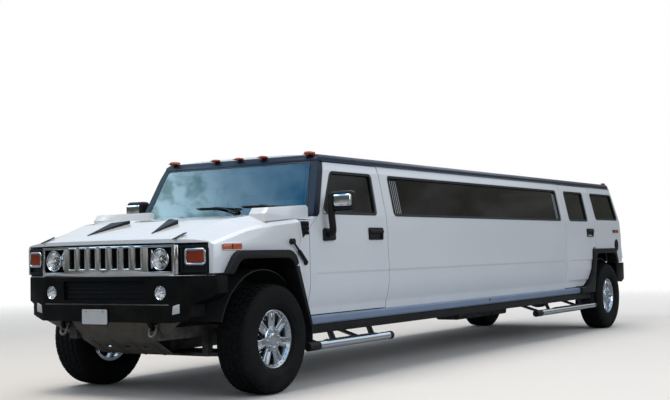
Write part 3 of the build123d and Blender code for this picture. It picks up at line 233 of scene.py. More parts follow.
def surface(name, colour, second, rough, grain, grain_depth, metallic=0.0, mottle=9.0, rough_swing=0.1,
            wear=0.0, wear_colour=(0.5, 0.5, 0.5), dust=0.0, dust_colour=(0.42, 0.38, 0.33), dust_top=0.9,
            coat=0.0, group=None, specular=0.5):
    """Base material: colour mottled with a second one, grain in the bump, worn edges and road dust."""
    made, net, shader = new_material(name, colour)
    fill(shader, Metallic=metallic, Coat_Weight=coat, Coat_Roughness=0.04, Specular_IOR_Level=specular)
    detail = net.group(PEBBLE, Scale=grain) if group is PEBBLE else net.group(GRAIN, Scale=grain,
            Mottle_Scale=mottle)
    tone = net.mix(detail["Mottle"], colour, second or tuple(c * 0.86 for c in colour))
    gloss = net.ramp(detail["Mottle"], 0.0, 1.0, rough, min(1.0, rough + rough_swing))
    if wear:
        tone = net.mix(net.group(EDGE, Width=0.003, Amount=wear)["Mask"], tone, wear_colour)
    if dust:
        mask = net.group(DUST, Top=dust_top, Amount=dust, Scale=7.0)["Mask"]
        tone = net.mix(mask, tone, dust_colour)
        gloss = net.math("ADD", gloss, net.math("MULTIPLY", mask, 0.5), clamp=True)
    net.link(tone, shader.inputs["Base Color"])
    net.link(gloss, shader.inputs["Roughness"])
    bump = net.node("ShaderNodeBump", Strength=grain_depth, Distance=0.001)
    net.link(detail["Height"], bump.inputs["Height"])
    net.link(bump.outputs[0], shader.inputs["Normal"])
    return made


def glass(name, colour, rough=0.02, mottle=0.06):
    """Tinted glass with faint haze in its gloss."""
    made, net, shader = new_material(name, colour, 0.6)
    fill(shader, Transmission_Weight=1.0, IOR=1.45)
    haze = net.noise(net.place(), 3.0, 5.0, 0.6)
    net.link(net.mix(haze, colour, tuple(c * 0.8 for c in colour)), shader.inputs["Base Color"])
    net.link(net.ramp(haze, 0.3, 0.7, rough, rough + mottle), shader.inputs["Roughness"])
    return made


# ---------------------------------------------------------------- modelling
def clear_selection():
    bpy.ops.object.select_all(action="DESELECT")


def pick(piece):
    clear_selection()
    piece.select_set(True)
    bpy.context.view_layer.objects.active = piece


def edit(piece, mode="EDGE", everything=True):
    pick(piece)
    bpy.ops.object.mode_set(mode="EDIT")
    bpy.ops.mesh.select_mode(type=mode)
    bpy.ops.mesh.select_all(action="SELECT" if everything else "DESELECT")


def leave_edit():
    bpy.ops.object.mode_set(mode="OBJECT")


def settle(piece):
    """Puts the object's place, turn and scale into its mesh."""
    pick(piece)
    bpy.ops.object.transform_apply(location=True, rotation=True, scale=True)
    return piece


def block(name, low, high, ease=0.0, segments=2, angle=30):
    """Box between two corners, its edges eased where asked."""
    clear_selection()
    middle = [(a + b) / 2 for a, b in zip(low, high)]
    bpy.ops.mesh.primitive_cube_add(size=1.0, location=middle, scale=[b - a for a, b in zip(low, high)])
    made = bpy.context.object
    made.name = name
    settle(made)
    return soften(made, ease, segments, angle) if ease else made


def oblong(a, b, c, d):
    """Four corners in a plane, from two opposite ones."""
    return (a, b), (c, b), (c, d), (a, d)


def panel(low, high):
    """Four corners of a flat rectangle from two opposite ones, which share one coordinate."""
    flat = next(axis for axis in range(3) if low[axis] == high[axis])
    first, second = (axis for axis in range(3) if axis != flat)
    corners = []
    for a, b in oblong(low[first], low[second], high[first], high[second]):
        corner = [low[flat]] * 3
        corner[first], corner[second] = a, b
        corners.append(corner)
    return corners


def outline_face(name, corners, round_off=0.0, round_steps=5):
    """Flat face with its corners at the given places, rounded where asked."""
    clear_selection()
    bpy.ops.mesh.primitive_circle_add(vertices=len(corners), radius=1.0, fill_type="NGON")
    made = bpy.context.object
    made.name = name
    for vertex, place in zip(made.data.vertices, corners):
        vertex.co = place
    if round_off:
        edit(made, "VERT")
        bpy.ops.mesh.bevel(offset=round_off, segments=round_steps, affect="VERTICES")
        leave_edit()
    return made


def push(piece, way):
    """Gives a flat face its depth."""
    edit(piece, "FACE")
    bpy.ops.mesh.extrude_region_move(TRANSFORM_OT_translate={"value": way})
    bpy.ops.mesh.select_all(action="SELECT")
    bpy.ops.mesh.normals_make_consistent(inside=False)
    leave_edit()
    return piece


def slab(name, corners, way, round_off=0.0):
    return push(outline_face(name, corners, round_off), way)


def grown(corners, width):
    """Outline set outward by a width, with mitred corners."""
    points = [Vector(corner) for corner in corners]
    after, before = points[1:] + points[:1], points[-1:] + points[:-1]
    normal = sum((a.cross(b) for a, b in zip(points, after)), Vector()).normalized()
    result = []
    for last, point, following in zip(before, points, after):
        first = (point - last).normalized().cross(normal)
        second = (following - point).normalized().cross(normal)
        result.append(point + (first + second) * width / (1.0 + first.dot(second)))
    return result


def frame_round(name, corners, width, way, round_off, outward):
    """Flat ring that follows an outline, inside or outside it, then given its depth."""
    if outward:
        corners = grown(corners, width)
        round_off += width
    made = outline_face(name, corners, round_off)
    edit(made, "FACE")
    bpy.ops.mesh.inset(thickness=width)
    leave_edit()
    centre = sum((Vector(corner) for corner in corners), Vector()) / len(corners)
    middle = min(made.data.polygons, key=lambda face: (face.center - centre).length)
    for face in made.data.polygons:
        face.select = face.index == middle.index
    for edge in made.data.edges:
        edge.select = False
    pick(made)
    bpy.ops.object.mode_set(mode="EDIT")
    bpy.ops.mesh.select_mode(type="FACE")
    bpy.ops.mesh.delete(type="ONLY_FACE")
    leave_edit()
    return push(made, way)


def strip_loop(name, corners, width, way, round_off, ease=0.0016, segments=2, outward=False):
    """Flat ring that follows an outline, with its edges eased."""
    return soften(frame_round(name, corners, width, way, round_off, outward), ease, segments, 40)


MERGE = 0.00002                        # corners closer than this are one
AXES = {"x": (Vector((1, 0, 0)), Vector((0, 1, 0))), "y": (Vector((0, 1, 0)), Vector((1, 0, 0))),
        "z": (Vector((0, 0, 1)), Vector((1, 0, 0)))}


def turned(name, stations, centre, axis="y", steps=48, flip=1.0):
    """Closed profile of (offset, radius) stations spun about an axis through its centre."""
    along_axis, outward = AXES[axis] if isinstance(axis, str) else axis
    centre = Vector(centre)
    made = outline_face(name, [centre + along_axis * offset * flip + outward * radius
            for offset, radius in stations])
    edit(made, "EDGE")
    bpy.ops.mesh.delete(type="ONLY_FACE")
    bpy.ops.mesh.select_all(action="SELECT")
    bpy.ops.mesh.spin(steps=steps, angle=2 * math.pi, center=centre, axis=along_axis)
    bpy.ops.mesh.select_all(action="SELECT")
    bpy.ops.mesh.remove_doubles(threshold=MERGE)
    bpy.ops.mesh.dissolve_degenerate(threshold=0.00001)
    bpy.ops.mesh.delete_loose()
    bpy.ops.mesh.select_all(action="SELECT")
    bpy.ops.mesh.normals_make_consistent(inside=False)
    leave_edit()
    return made


def rod(name, start, end, radius, steps=20, end_round=0.0):
    """Round bar between two points, its ends eased where asked."""
    start, end = Vector(start), Vector(end)
    way = end - start
    clear_selection()
    bpy.ops.mesh.primitive_cylinder_add(vertices=steps, radius=radius, depth=way.length,
            location=(start + end) / 2, rotation=way.to_track_quat("Z", "Y").to_euler())
    made = bpy.context.object
    made.name = name
    settle(made)
    if end_round:
        soften(made, end_round, 2, 50)
    return made


def tube(name, points, radius, steps=4, order=3):
    """Bent round bar along a smooth line."""
    curve = bpy.data.curves.new(name, "CURVE")
    curve.dimensions = "3D"
    line = curve.splines.new("NURBS")
    line.points.add(len(points) - 1)
    for point, place in zip(line.points, points):
        point.co = (*place, 1.0)
    line.order_u = order
    line.use_endpoint_u = True
    line.resolution_u = 6
    curve.bevel_depth = radius
    curve.bevel_resolution = steps
    curve.use_fill_caps = True
    made = bpy.data.objects.new(name, curve)
    bpy.context.scene.collection.objects.link(made)
    pick(made)
    bpy.ops.object.convert(target="MESH")
    return bpy.context.object


def apply(piece, modifier):
    pick(piece)
    bpy.ops.object.modifier_apply(modifier=modifier.name)


def soften(piece, width=0.003, segments=2, angle=30):
    """Eases every sharp edge."""
    modifier = piece.modifiers.new("edge", "BEVEL")
    modifier.width = width
    modifier.segments = segments
    modifier.limit_method = "ANGLE"
    modifier.angle_limit = math.radians(angle)
    modifier.harden_normals = False
    apply(piece, modifier)
    return piece


def smooth(piece, angle=35):
    pick(piece)
    bpy.ops.object.shade_smooth_by_angle(angle=math.radians(angle))
    return piece


def cut(piece, cutter):
    """Takes one piece's shape out of another."""
    modifier = piece.modifiers.new("cut", "BOOLEAN")
    modifier.operation = "DIFFERENCE"
    modifier.solver = "EXACT"
    modifier.object = cutter
    apply(piece, modifier)
    bpy.data.objects.remove(cutter)
    return piece


def mirrored(piece):
    """Adds the right-hand twin to a left-hand piece, in one mesh."""
    modifier = piece.modifiers.new("twin", "MIRROR")
    modifier.use_axis = (False, True, False)
    modifier.use_mirror_merge = False
    apply(piece, modifier)
    return piece


def twin(piece, name, side=1):
    """Own-mesh copy of a piece, on the other side where side is -1."""
    pick(piece)
    bpy.ops.object.duplicate()
    made = bpy.context.object
    made.name = name
    if side < 0:
        made.scale = (1, -1, 1)
        settle(made)
        edit(made)
        bpy.ops.mesh.normals_make_consistent(inside=False)
        leave_edit()
    return made


def moved(piece, way):
    piece.location = way
    return settle(piece)


def spun(piece, angle, centre, axis="Y"):
    """Turns a piece about an axis through a point."""
    centre = Vector(centre)
    turn = Matrix.Translation(centre) @ Matrix.Rotation(angle, 4, axis) @ Matrix.Translation(-centre)
    piece.data.transform(turn)
    return piece


def join(name, *pieces):
    clear_selection()
    for piece in pieces:
        piece.select_set(True)
    bpy.context.view_layer.objects.active = pieces[0]
    bpy.ops.object.join()
    pieces[0].name = name
    return pieces[0]


def ring_of(piece, count, centre, axis="Y", start=0.0):
    """Copies of a piece set round an axis and joined."""
    copies = [piece]
    for index in range(1, count):
        copies.append(spun(twin(piece, f"{piece.name}_{index}"), index * 2 * math.pi / count, centre, axis))
    made = join(piece.name, *copies)
    if start:
        spun(made, start, centre, axis)
    return made


def give(piece, material, body="body", replaces=(), angle=35):
    """Final dress of a piece: its finish, smooth shading and body, with the nodes it replaces hidden."""
    piece.data.materials.clear()
    piece.data.materials.append(material)
    smooth(piece, angle)
    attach(piece, body)
    if replaces:
        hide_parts(*replaces)
    return piece


def from_node(node, bevel=0.0025, segments=2, angle=25, name=None):
    """Working copy of a CAD node: corners merged, flat faces whole again and edges eased."""
    pick(NODES[node])
    bpy.ops.object.duplicate()
    made = bpy.context.object
    made.name = name or f"{node}_finished"
    made.parent = None
    for key in list(made.keys()):
        del made[key]
    edit(made)
    bpy.ops.mesh.remove_doubles(threshold=MERGE)
    bpy.ops.mesh.select_all(action="SELECT")
    bpy.ops.mesh.dissolve_limited(angle_limit=math.radians(0.5), use_dissolve_boundaries=False)
    leave_edit()
    if bevel:
        soften(made, bevel, segments, angle)
    return made


def finished(node, material, body="body", ease=(), angle=35):
    """A CAD node with its edges eased and its finish on, standing for the plain node."""
    return give(from_node(node, *ease), material, body, (node,), angle)


def pair(piece, material, body, replaces=()):
    """Finishes a left-hand piece and its right-hand twin; left in its names becomes right in the twin's."""
    for side, sign in SIDES:
        one = piece if sign > 0 else twin(piece, piece.name.replace("left", side), -1)
        give(one, material, body.replace("left", side), [name.replace("left", side) for name in replaces])


def drop_faces(piece, test):
    """Deletes the faces that pass a test."""
    edit(piece, "FACE", everything=False)
    leave_edit()
    for face in piece.data.polygons:
        face.select = test(face.center)
    bpy.ops.object.mode_set(mode="EDIT")
    bpy.ops.mesh.delete(type="FACE")
    leave_edit()
    return piece


def line_faces(piece, material, test):
    """Gives the faces that pass a test their own finish."""
    piece.data.materials.append(material)
    slot = len(piece.data.materials) - 1
    for face in piece.data.polygons:
        if test(face.center, face.normal):
            face.material_index = slot


# ---------------------------------------------------------------- finishes
PAINT = surface("paint_white", (0.8, 0.815, 0.835), (0.775, 0.79, 0.815), 0.16, 420.0, 0.012, mottle=1.6,
                rough_swing=0.05, dust=0.35, dust_top=0.85, dust_colour=(0.55, 0.52, 0.47), coat=0.6)
BLACK = surface("trim_black", (0.009, 0.009, 0.01), (0.013, 0.013, 0.014), 0.42, 1100.0, 0.25, specular=0.2,
                wear=0.15, wear_colour=(0.05, 0.05, 0.05), dust=0.05)
BUMPER_BLACK = surface("bumper_black", (0.002, 0.002, 0.002), (0.004, 0.004, 0.004), 0.3, 900.0, 0.12,
        specular=0.1, wear=0.3, wear_colour=(0.08, 0.08, 0.08), dust=0.05, dust_top=1.1)
RAIL_BLACK = surface("rail_black", (0.008, 0.012, 0.026), (0.011, 0.017, 0.036), 0.3, 700.0, 0.03,
        mottle=2.0, specular=0.18)
RUBBER = surface("seal_rubber", (0.012, 0.012, 0.012), (0.02, 0.02, 0.02), 0.6, 700.0, 0.2)
FRAME_BLACK = surface("frame_black", (0.02, 0.02, 0.02), (0.035, 0.032, 0.03), 0.5, 260.0, 0.4, wear=0.3,
        wear_colour=(0.18, 0.14, 0.1), dust=0.7)
FLOOR_METAL = surface("underbody", (0.03, 0.03, 0.031), (0.05, 0.045, 0.04), 0.7, 160.0, 0.6, dust=0.6)
TRIM_DARK = surface("trim_dark", (0.045, 0.045, 0.048), (0.06, 0.06, 0.062), 0.6, 800.0, 0.3)
CARPET = surface("carpet", (0.03, 0.03, 0.034), (0.05, 0.05, 0.055), 0.95, 1500.0, 0.9)
CAST = surface("cast_metal", (0.17, 0.17, 0.165), (0.1, 0.09, 0.085), 0.55, 220.0, 0.5, metallic=0.7,
               mottle=12.0, dust=0.5)
CHROME = surface("chrome", (0.78, 0.79, 0.8), (0.7, 0.71, 0.73), 0.06, 60.0, 0.006, metallic=1.0,
                 rough_swing=0.06, dust=0.12, dust_top=0.7)
RIM_METAL = surface("rim_chrome", (0.72, 0.73, 0.75), (0.6, 0.61, 0.63), 0.12, 90.0, 0.01, metallic=1.0,
                    rough_swing=0.1, wear=0.2, wear_colour=(0.4, 0.4, 0.4), dust=0.35)
ALLOY = surface("alloy", (0.2, 0.18, 0.145), (0.14, 0.12, 0.09), 0.5, 300.0, 0.2, metallic=0.6, wear=0.4,
                wear_colour=(0.42, 0.4, 0.36), dust=0.5, dust_colour=(0.2, 0.175, 0.14))
STEEL = surface("steel", (0.4, 0.39, 0.37), (0.27, 0.22, 0.18), 0.35, 200.0, 0.2, metallic=0.9, mottle=15.0,
                dust=0.6)
TYRE = surface("tyre", (0.004, 0.004, 0.0042), (0.007, 0.0068, 0.0065), 0.7, 420.0, 0.5, specular=0.15,
               dust=0.22, dust_colour=(0.07, 0.065, 0.055))
LEATHER = surface("leather", (0.035, 0.035, 0.038), (0.05, 0.048, 0.048), 0.42, 240.0, 0.5, group=PEBBLE)
BAR_GLOSS = surface("bar_gloss", (0.09, 0.045, 0.026), (0.05, 0.024, 0.015), 0.15, 70.0, 0.03, mottle=22.0,
                    coat=0.8)
AMBER = surface("lamp_amber", (0.62, 0.115, 0.012), (0.42, 0.06, 0.008), 0.14, 120.0, 0.05, coat=0.7)
RED = surface("lamp_red", (0.5, 0.012, 0.014), (0.35, 0.008, 0.01), 0.14, 120.0, 0.05, coat=0.7)
REFLECTOR = surface("reflector", (0.82, 0.84, 0.86), (0.6, 0.62, 0.65), 0.1, 30.0, 0.05, metallic=1.0)
PLATE_WHITE = surface("plate_blank", (0.62, 0.64, 0.65), (0.55, 0.56, 0.57), 0.35, 300.0, 0.05, dust=0.3)
SLOT_DARK = surface("slot_dark", (0.003, 0.003, 0.004), None, 0.45, 500.0, 0.2, specular=0.12)
# Sill covers: the white body paint as it looks in shade where the sill turns under, put in as a blue-grey
# painted shade.
SILL_PAINTED_SHADE = surface("sill_paint", (0.22, 0.28, 0.4), (0.19, 0.24, 0.34), 0.35, 700.0, 0.02, mottle=2.0)
TURN_AMBER = surface("turn_amber", (0.34, 0.042, 0.008), (0.2, 0.02, 0.005), 0.14, 900.0, 0.05)
ETCHED = surface("etched_lines", (0.42, 0.44, 0.45), (0.34, 0.36, 0.37), 0.4, 900.0, 0.1)
HEADLINER = surface("headliner", (0.2, 0.195, 0.19), (0.17, 0.165, 0.16), 0.95, 1400.0, 0.7)
DARK_GLASS = glass("glass_dark", (0.05, 0.05, 0.046), 0.02)
LAMP_GLASS = glass("lamp_clear", (0.93, 0.95, 0.96), 0.01, mottle=0.02)


def windshield_glass():
    """Blue-tinted laminated glass: deeper tint along its upper band, and cloudy patches in it."""
    made = glass("glass_front", (0.3, 0.5, 0.6), 0.012, mottle=0.02)
    net = Net(made.node_tree)
    shader = made.node_tree.nodes["Principled BSDF"]
    fill(shader, Specular_IOR_Level=1.0, Coat_Weight=1.0, Coat_Roughness=0.02)
    place = net.place()
    band = net.mix(net.ramp(net.split(place)["Z"], 1.47, 1.88), (0.16, 0.36, 0.46), (0.05, 0.17, 0.3))
    cloud = net.ramp(net.noise(place, 2.2, 5.0, 0.62), 0.35, 0.7)
    net.link(net.mix(cloud, band, (0.16, 0.33, 0.42)), shader.inputs["Base Color"])
    return made


FRONT_GLASS = windshield_glass()


def dress_nodes():
    """Finishes for the CAD nodes that show as they are."""
    plain = ((FRAME_BLACK, ("frame_rails", "frame_members", "propshaft", "suspension", "fuel_tank")),
             (CAST, ("rear_axle", "knuckle_left", "knuckle_right")), (FLOOR_METAL, ("floor_pan",)),
             (TRIM_DARK, ("bulkheads",)), (STEEL, ("exhaust",)), (RUBBER, ("wheel_liners",)),
             (PAINT, ("rockers",)))
    for material, nodes in plain:
        for node in nodes:
            if node in NODES:
                NODES[node].data.materials.clear()
                NODES[node].data.materials.append(material)


# ---------------------------------------------------------------- camera, light and floor
CAMERA_PLACE = (11.109, 6.31, 1.115)
CAMERA_TURN = (-147.11, 2.6, -1.26)     # yaw, pitch and roll in degrees
SENSOR, FOCAL_PIXELS, FRAME_PIXELS = 36.0, 1134.4, 670.0
SKY = ((0.06, (0.2, 0.2, 0.19, 1)), (0.12, (0.07, 0.075, 0.06, 1)), (0.36, (0.13, 0.14, 0.12, 1)),
       (0.44, (0.72, 0.78, 0.84, 1)), (0.62, (0.6, 0.78, 1.0, 1)))
HORIZON, ZENITH = (0.34, 0.35, 0.36, 1), (0.42, 0.68, 1.0, 1)
WALL_WAY, CLOUD_WAY = (-0.88, 0.42, 0.22), (0.45, -0.61, 0.655)
# place, width, power and colour of each lamp
LAMPS = (((7.0, -1.0, 11.0), 6.0, 600.0, (1.0, 0.93, 0.84)),
         ((-2.0, 0.5, 12.0), 9.0, 300.0, (1.0, 0.94, 0.87)),
         ((-10.0, -2.0, 8.0), 7.0, 215.0, (1.0, 0.97, 0.95)),
         ((5.0, 10.0, 5.0), 7.0, 235.0, (0.88, 0.94, 1.0)),
         ((-6.0, 10.0, 5.0), 7.0, 135.0, (0.88, 0.94, 1.0)))


def build_camera():
    clear_selection()
    bpy.ops.object.camera_add(location=CAMERA_PLACE)
    camera = bpy.context.object
    yaw, pitch, roll = (math.radians(angle) for angle in CAMERA_TURN)
    ahead = Vector((math.cos(yaw) * math.cos(pitch), math.sin(yaw) * math.cos(pitch), math.sin(pitch)))
    right = ahead.cross(Vector((0, 0, 1))).normalized()
    up = right.cross(ahead)
    side = right * math.cos(roll) + up * math.sin(roll)
    top = up * math.cos(roll) - right * math.sin(roll)
    camera.matrix_world = Matrix.Translation(camera.location) @ Matrix((side, top,
            -ahead)).transposed().to_4x4()
    camera.data.sensor_width = SENSOR
    camera.data.lens = FOCAL_PIXELS / FRAME_PIXELS * SENSOR
    camera.data.clip_end = 400.0
    bpy.context.scene.camera = camera


def build_floor():
    """Pale floor that darkens what bounces off it, fades out far away and is clear from below."""
    bpy.ops.mesh.primitive_plane_add(size=300.0, location=(0, 0, 0))
    floor = bpy.context.object
    floor.name = "studio_floor"
    pale, net, shader = new_material("studio_floor")
    fill(shader, Roughness=0.9, Specular_IOR_Level=0.1)
    place = net.place()
    net.link(net.mix(net.noise(place, 0.4), (0.84, 0.81, 0.775), (0.86, 0.83, 0.795)),
             shader.inputs["Base Color"])
    bounce = net.node("ShaderNodeBsdfDiffuse", Color=(0.26, 0.28, 0.31, 1)).outputs[0]
    seen = net.node("ShaderNodeLightPath").outputs["Is Camera Ray"]
    reach = net.node("ShaderNodeVectorMath", operation="LENGTH")
    net.link(place, reach.inputs[0])
    below = net.node("ShaderNodeNewGeometry").outputs["Backfacing"]
    clear = net.math("MAXIMUM", net.ramp(reach.outputs["Value"], 6.5, 17.0), below)
    told = net.blend(seen, bounce, shader.outputs[0])
    faded = net.blend(clear, told, net.node("ShaderNodeBsdfTransparent").outputs[0])
    net.link(faded, net.tree.nodes["Material Output"].inputs["Surface"])
    floor.data.materials.append(pale)


def build_world():
    """White to the eye, soft blue as light; reflections show a dark horizon, a wall and a bright cloud."""
    world = bpy.data.worlds.new("studio")
    bpy.context.scene.world = world
    world.use_nodes = True
    net = Net(world.node_tree)
    nodes = net.tree.nodes
    light = fill(nodes["Background"], Color=(0.82, 0.9, 1.0, 1.0), Strength=0.46)
    seen = net.node("ShaderNodeBackground", Color=(1, 1, 1, 1), Strength=1.0)
    mirror = net.node("ShaderNodeBackground", Strength=1.0)
    place = net.place("Generated")
    axes = net.split(place)
    sky = net.node("ShaderNodeValToRGB")
    band = sky.color_ramp
    band.elements[0].color, band.elements[1].color = HORIZON, ZENITH
    for at, colour in SKY:
        band.elements.new(at).color = colour
    wave = net.math("SUBTRACT", net.noise(place, 5.0, 6.0, 0.65), 0.5)
    height = net.ramp(axes["Z"], -0.05, 0.75)
    net.link(net.math("ADD", height, net.math("MULTIPLY", wave, 0.35)), sky.inputs["Fac"])
    patchy = net.ramp(net.noise(place, 9.0, 4.0, 0.7), 0.5, 0.6)
    wall = net.mix(net.ramp(net.noise(place, 3.5, 2.0, 0.5), 0.45, 0.55), (0.18, 0.25, 0.09),
                   (0.29, 0.29, 0.3))
    near = net.ramp(net.dot(place, WALL_WAY), 0.86, 0.93)
    backdrop = net.mix(net.math("MULTIPLY", patchy, near), sky.outputs[0], wall)
    across = net.math("ADD", net.math("MULTIPLY", axes["Y"], -1.0), net.math("MULTIPLY", wave, 0.16))
    branches = net.ramp(net.noise(place, 17.0, 6.0, 0.75), 0.5, 0.58)
    leafy = net.mix(branches, (3.8, 5.6, 6.6), (1.5, 2.6, 2.7))
    bright = net.mix(net.ramp(across, 0.56, 0.66), (0.05, 0.6, 1.4), leafy)
    patch = net.ramp(net.dot(place, CLOUD_WAY), 0.9, 0.975)
    net.link(net.mix(patch, backdrop, bright), mirror.inputs["Color"])
    rays = net.node("ShaderNodeLightPath").outputs
    shiny = net.blend(rays["Is Glossy Ray"], light.outputs[0], mirror.outputs[0])
    direct = net.math("MAXIMUM", rays["Is Camera Ray"], rays["Is Transmission Ray"])
    net.link(net.blend(direct, shiny, seen.outputs[0]), nodes["World Output"].inputs["Surface"])


def build_stage():
    build_camera()
    build_floor()
    build_world()
    for place, size, power, colour in LAMPS:
        clear_selection()
        bpy.ops.object.light_add(type="AREA", location=place)
        lamp = bpy.context.object
        lamp.data.shape = "DISK"
        lamp.data.size = size
        lamp.data.energy = power
        lamp.data.color = colour
        aim = Vector((place[0] * 0.6, 0.0, 0.8)) - Vector(place)
        lamp.rotation_euler = aim.to_track_quat("-Z", "Y").to_euler()
    bpy.context.scene.view_settings.view_transform = "Standard"


# ---------------------------------------------------------------- body shells
def inner_side(side):
    """Faces of a side wall that look into the cabin."""
    return lambda centre, normal: normal.y * side < -0.55


CREASES = ((0.662, 0.0), (0.684, 0.008), (0.924, 0.002), (0.944, 0.012), (1.1, 0.0))
HINGE_LINES = (front(-0.544), rear(1.394))
FADE_NEAR, FADE_FAR = 0.02, 0.11     # the steps fade out this near to a hinge line
BELT_CUT = 1.415                       # the cowl is black above this
SKIN_Y = 0.93                          # outer skin of the sides lies beyond this


def fade(x):
    """Share of the steps' depth that is left near a door's hinge line."""
    gap = min(abs(x - line) for line in HINGE_LINES)
    return min(max((gap - FADE_NEAR) / (FADE_FAR - FADE_NEAR), 0.0), 1.0)


def slice_across(piece, place, way):
    edit(piece)
    bpy.ops.mesh.bisect(plane_co=place, plane_no=way)
    leave_edit()


def crease(piece):
    """Presses two steps along the side, one above the sill and one at half height."""
    for height in [level for level, depth in CREASES] + [BELT_CUT]:
        slice_across(piece, (0, 0, height), (0, 0, 1))
    for line in HINGE_LINES:
        for gap in (-FADE_FAR, -FADE_NEAR, FADE_NEAR, FADE_FAR):
            slice_across(piece, (line + gap, 0, 0), (1, 0, 0))
    for vertex in piece.data.vertices:
        if abs(vertex.co.y) > SKIN_Y:
            depth = along(CREASES, max(vertex.co.z, CREASES[0][0])) * fade(vertex.co.x)
            vertex.co.y += math.copysign(depth, vertex.co.y)
    return piece


def side_shell(node, body):
    """Side panel or door with its steps pressed in, its edges eased and painted."""
    return give(soften(crease(from_node(node, 0.0)), 0.0025, 2, 25), PAINT, body, (node,), angle=12)


def build_shells():
    """Painted panels with eased edges, lined in dark trim on the cabin side; the sill covers carry a
    blue-grey painted shade.
    """
    for node in ("stretch_panels", "rear_quarters", "cowl_sides"):
        shell = side_shell(node, "body")
        line_faces(shell, TRIM_DARK, lambda centre, normal: normal.y * centre.y < -0.3
                   and abs(centre.y) < SKIN_Y)
        if node == "cowl_sides":
            line_faces(shell, RAIL_BLACK, lambda centre, normal: centre.z > BELT_CUT
                    and centre.x < front(-0.6))
    for name in ("front", "rear"):
        for side, sign in SIDES:
            node = f"door_{name}_{side}"
            line_faces(side_shell(node, node), TRIM_DARK, inner_side(sign))
    line_faces(finished("roof_panel", PAINT, ease=(0.004,)), HEADLINER,
               lambda centre, normal: normal.z < -0.8)
    finished("roof_rails", RAIL_BLACK, ease=(0.005,))
    finished("windshield_frame", RAIL_BLACK, ease=(0.003,))
    line_faces(finished("tailgate", PAINT, "tailgate"), TRIM_DARK, lambda centre, normal: normal.x > 0.8)
    finished("nose_panel", BLACK, ease=(0.003,))
    bumper = from_node("front_bumper", 0.0)
    corner = slab("corner", [(front(0.4), y, z) for y, z in ((1.1, 0.86), (0.835, 0.742), (0.835, 0.655),
            (0.72, 0.611), (0.72, 0.56), (1.1, 0.56))], (0.6, 0, 0))
    bumper = soften(cut(bumper, mirrored(corner)), 0.006, 3, 25)
    give(bumper, BUMPER_BLACK, replaces=("front_bumper",))
    finished("rear_bumper", BUMPER_BLACK, ease=(0.008, 3))
    finished("skid_plate", ALLOY, ease=(0.002,))
    finished("arch_mouldings", BLACK, ease=(0.008, 3))
    # The sill covers take the blue-grey painted shade instead of the body white.
    finished("sill_covers", SILL_PAINTED_SHADE, ease=(0.004,))
    finished("hood_trim", BLACK, "hood", ease=(0.006, 3))


def build_hood():
    """Hood panel: its long folds and raised corners well rounded, its other edges just eased."""
    hood = from_node("hood_panel", 0.0)
    edit(hood, "EDGE", everything=False)
    leave_edit()
    mesh = hood.data
    work = bmesh.new()
    work.from_mesh(mesh)
    for line in work.edges:
        soft = False
        if len(line.link_faces) == 2:
            turn = math.degrees(line.calc_face_angle(0.0))
            centre = (line.verts[0].co + line.verts[1].co) / 2
            long_fold = 4.0 < turn < 75.0 and centre.z > 1.19 and line.calc_length() > 0.1
            raised_corner = 40.0 < turn < 100.0 and centre.z > 1.36 and centre.x < front(-0.05)
            soft = long_fold or raised_corner
        line.select_set(soft)
    work.to_mesh(mesh)
    work.free()
    pick(hood)
    bpy.ops.object.mode_set(mode="EDIT")
    bpy.ops.mesh.bevel(offset=0.022, segments=4, clamp_overlap=True)
    leave_edit()
    soften(hood, 0.0025, 2, 40)
    give(hood, PAINT, "hood", ("hood_panel",), angle=50)
    line_faces(hood, FLOOR_METAL, lambda centre, normal: normal.z < -0.5)


# ---------------------------------------------------------------- wheels
TYRE_HALF = ((-0.104, 0.216), (-0.107, 0.23), (-0.121, 0.234), (-0.126, 0.242), (-0.137, 0.245),
             (-0.1465, 0.262), (-0.153, 0.285), (-0.1545, 0.286), (-0.155, 0.291), (-0.1545, 0.296),
             (-0.1565, 0.318), (-0.1565, 0.345), (-0.153, 0.364), (-0.154, 0.366), (-0.151, 0.378),
             (-0.144, 0.396), (-0.136, 0.409), (-0.126, 0.4185), (-0.112, 0.424), (-0.09, 0.4255),
             (-0.04, 0.427))
BLOCKS_ROUND = 40
SPOKES, NUTS, STUDS = 7, 8, 28
HUB = (0, 0, 0)
TREAD_FOOT = 0.418                     # the blocks stand on this radius


def tread_block(name, corners, top, slant=0.0):
    """One rubber block of the tread, standing on the tyre's top."""
    made = slab(name, [(x, y, TREAD_FOOT) for x, y in corners], (0, 0, top - TREAD_FOOT))
    if slant:
        centre_y = sum(y for x, y in corners) / len(corners)
        spun(made, slant, (0, centre_y, top), "X")
    return soften(made, 0.0022, 1, 30)


def build_tyre(name):
    """Carcass with five rows of blocks."""
    profile = list(TYRE_HALF) + [(-u, r) for u, r in reversed(TYRE_HALF)]
    carcass = turned(name, profile, (0, 0, 0), "y", 72)
    middle = tread_block("block_middle", ((-0.027, -0.006), (-0.014, -0.022), (0.022, -0.026),
            (0.029, 0.006), (0.014, 0.022), (-0.022, 0.026)), 0.4342)
    inner = tread_block("block_inner", ((-0.029, 0.034), (0.019, 0.03), (0.029, 0.052), (0.026, 0.076),
            (-0.021, 0.08), (-0.028, 0.056)), 0.4335)
    shoulder = tread_block("block_shoulder", ((-0.028, 0.086), (-0.002, 0.084), (0.002, 0.1),
            (0.008, 0.084), (0.03, 0.087), (0.03, 0.1235), (-0.028, 0.1235)), 0.43, -0.12)
    pitch = 2 * math.pi / BLOCKS_ROUND
    parts = [carcass, ring_of(middle, BLOCKS_ROUND, HUB)]
    for piece, shift in ((inner, 0.5), (shoulder, 0.0)):
        opposite = twin(piece, f"{piece.name}_far", -1)
        parts.append(ring_of(piece, BLOCKS_ROUND, HUB, start=pitch * shift))
        parts.append(ring_of(opposite, BLOCKS_ROUND, HUB, start=pitch * (shift + 0.35)))
    return join(name, *parts)


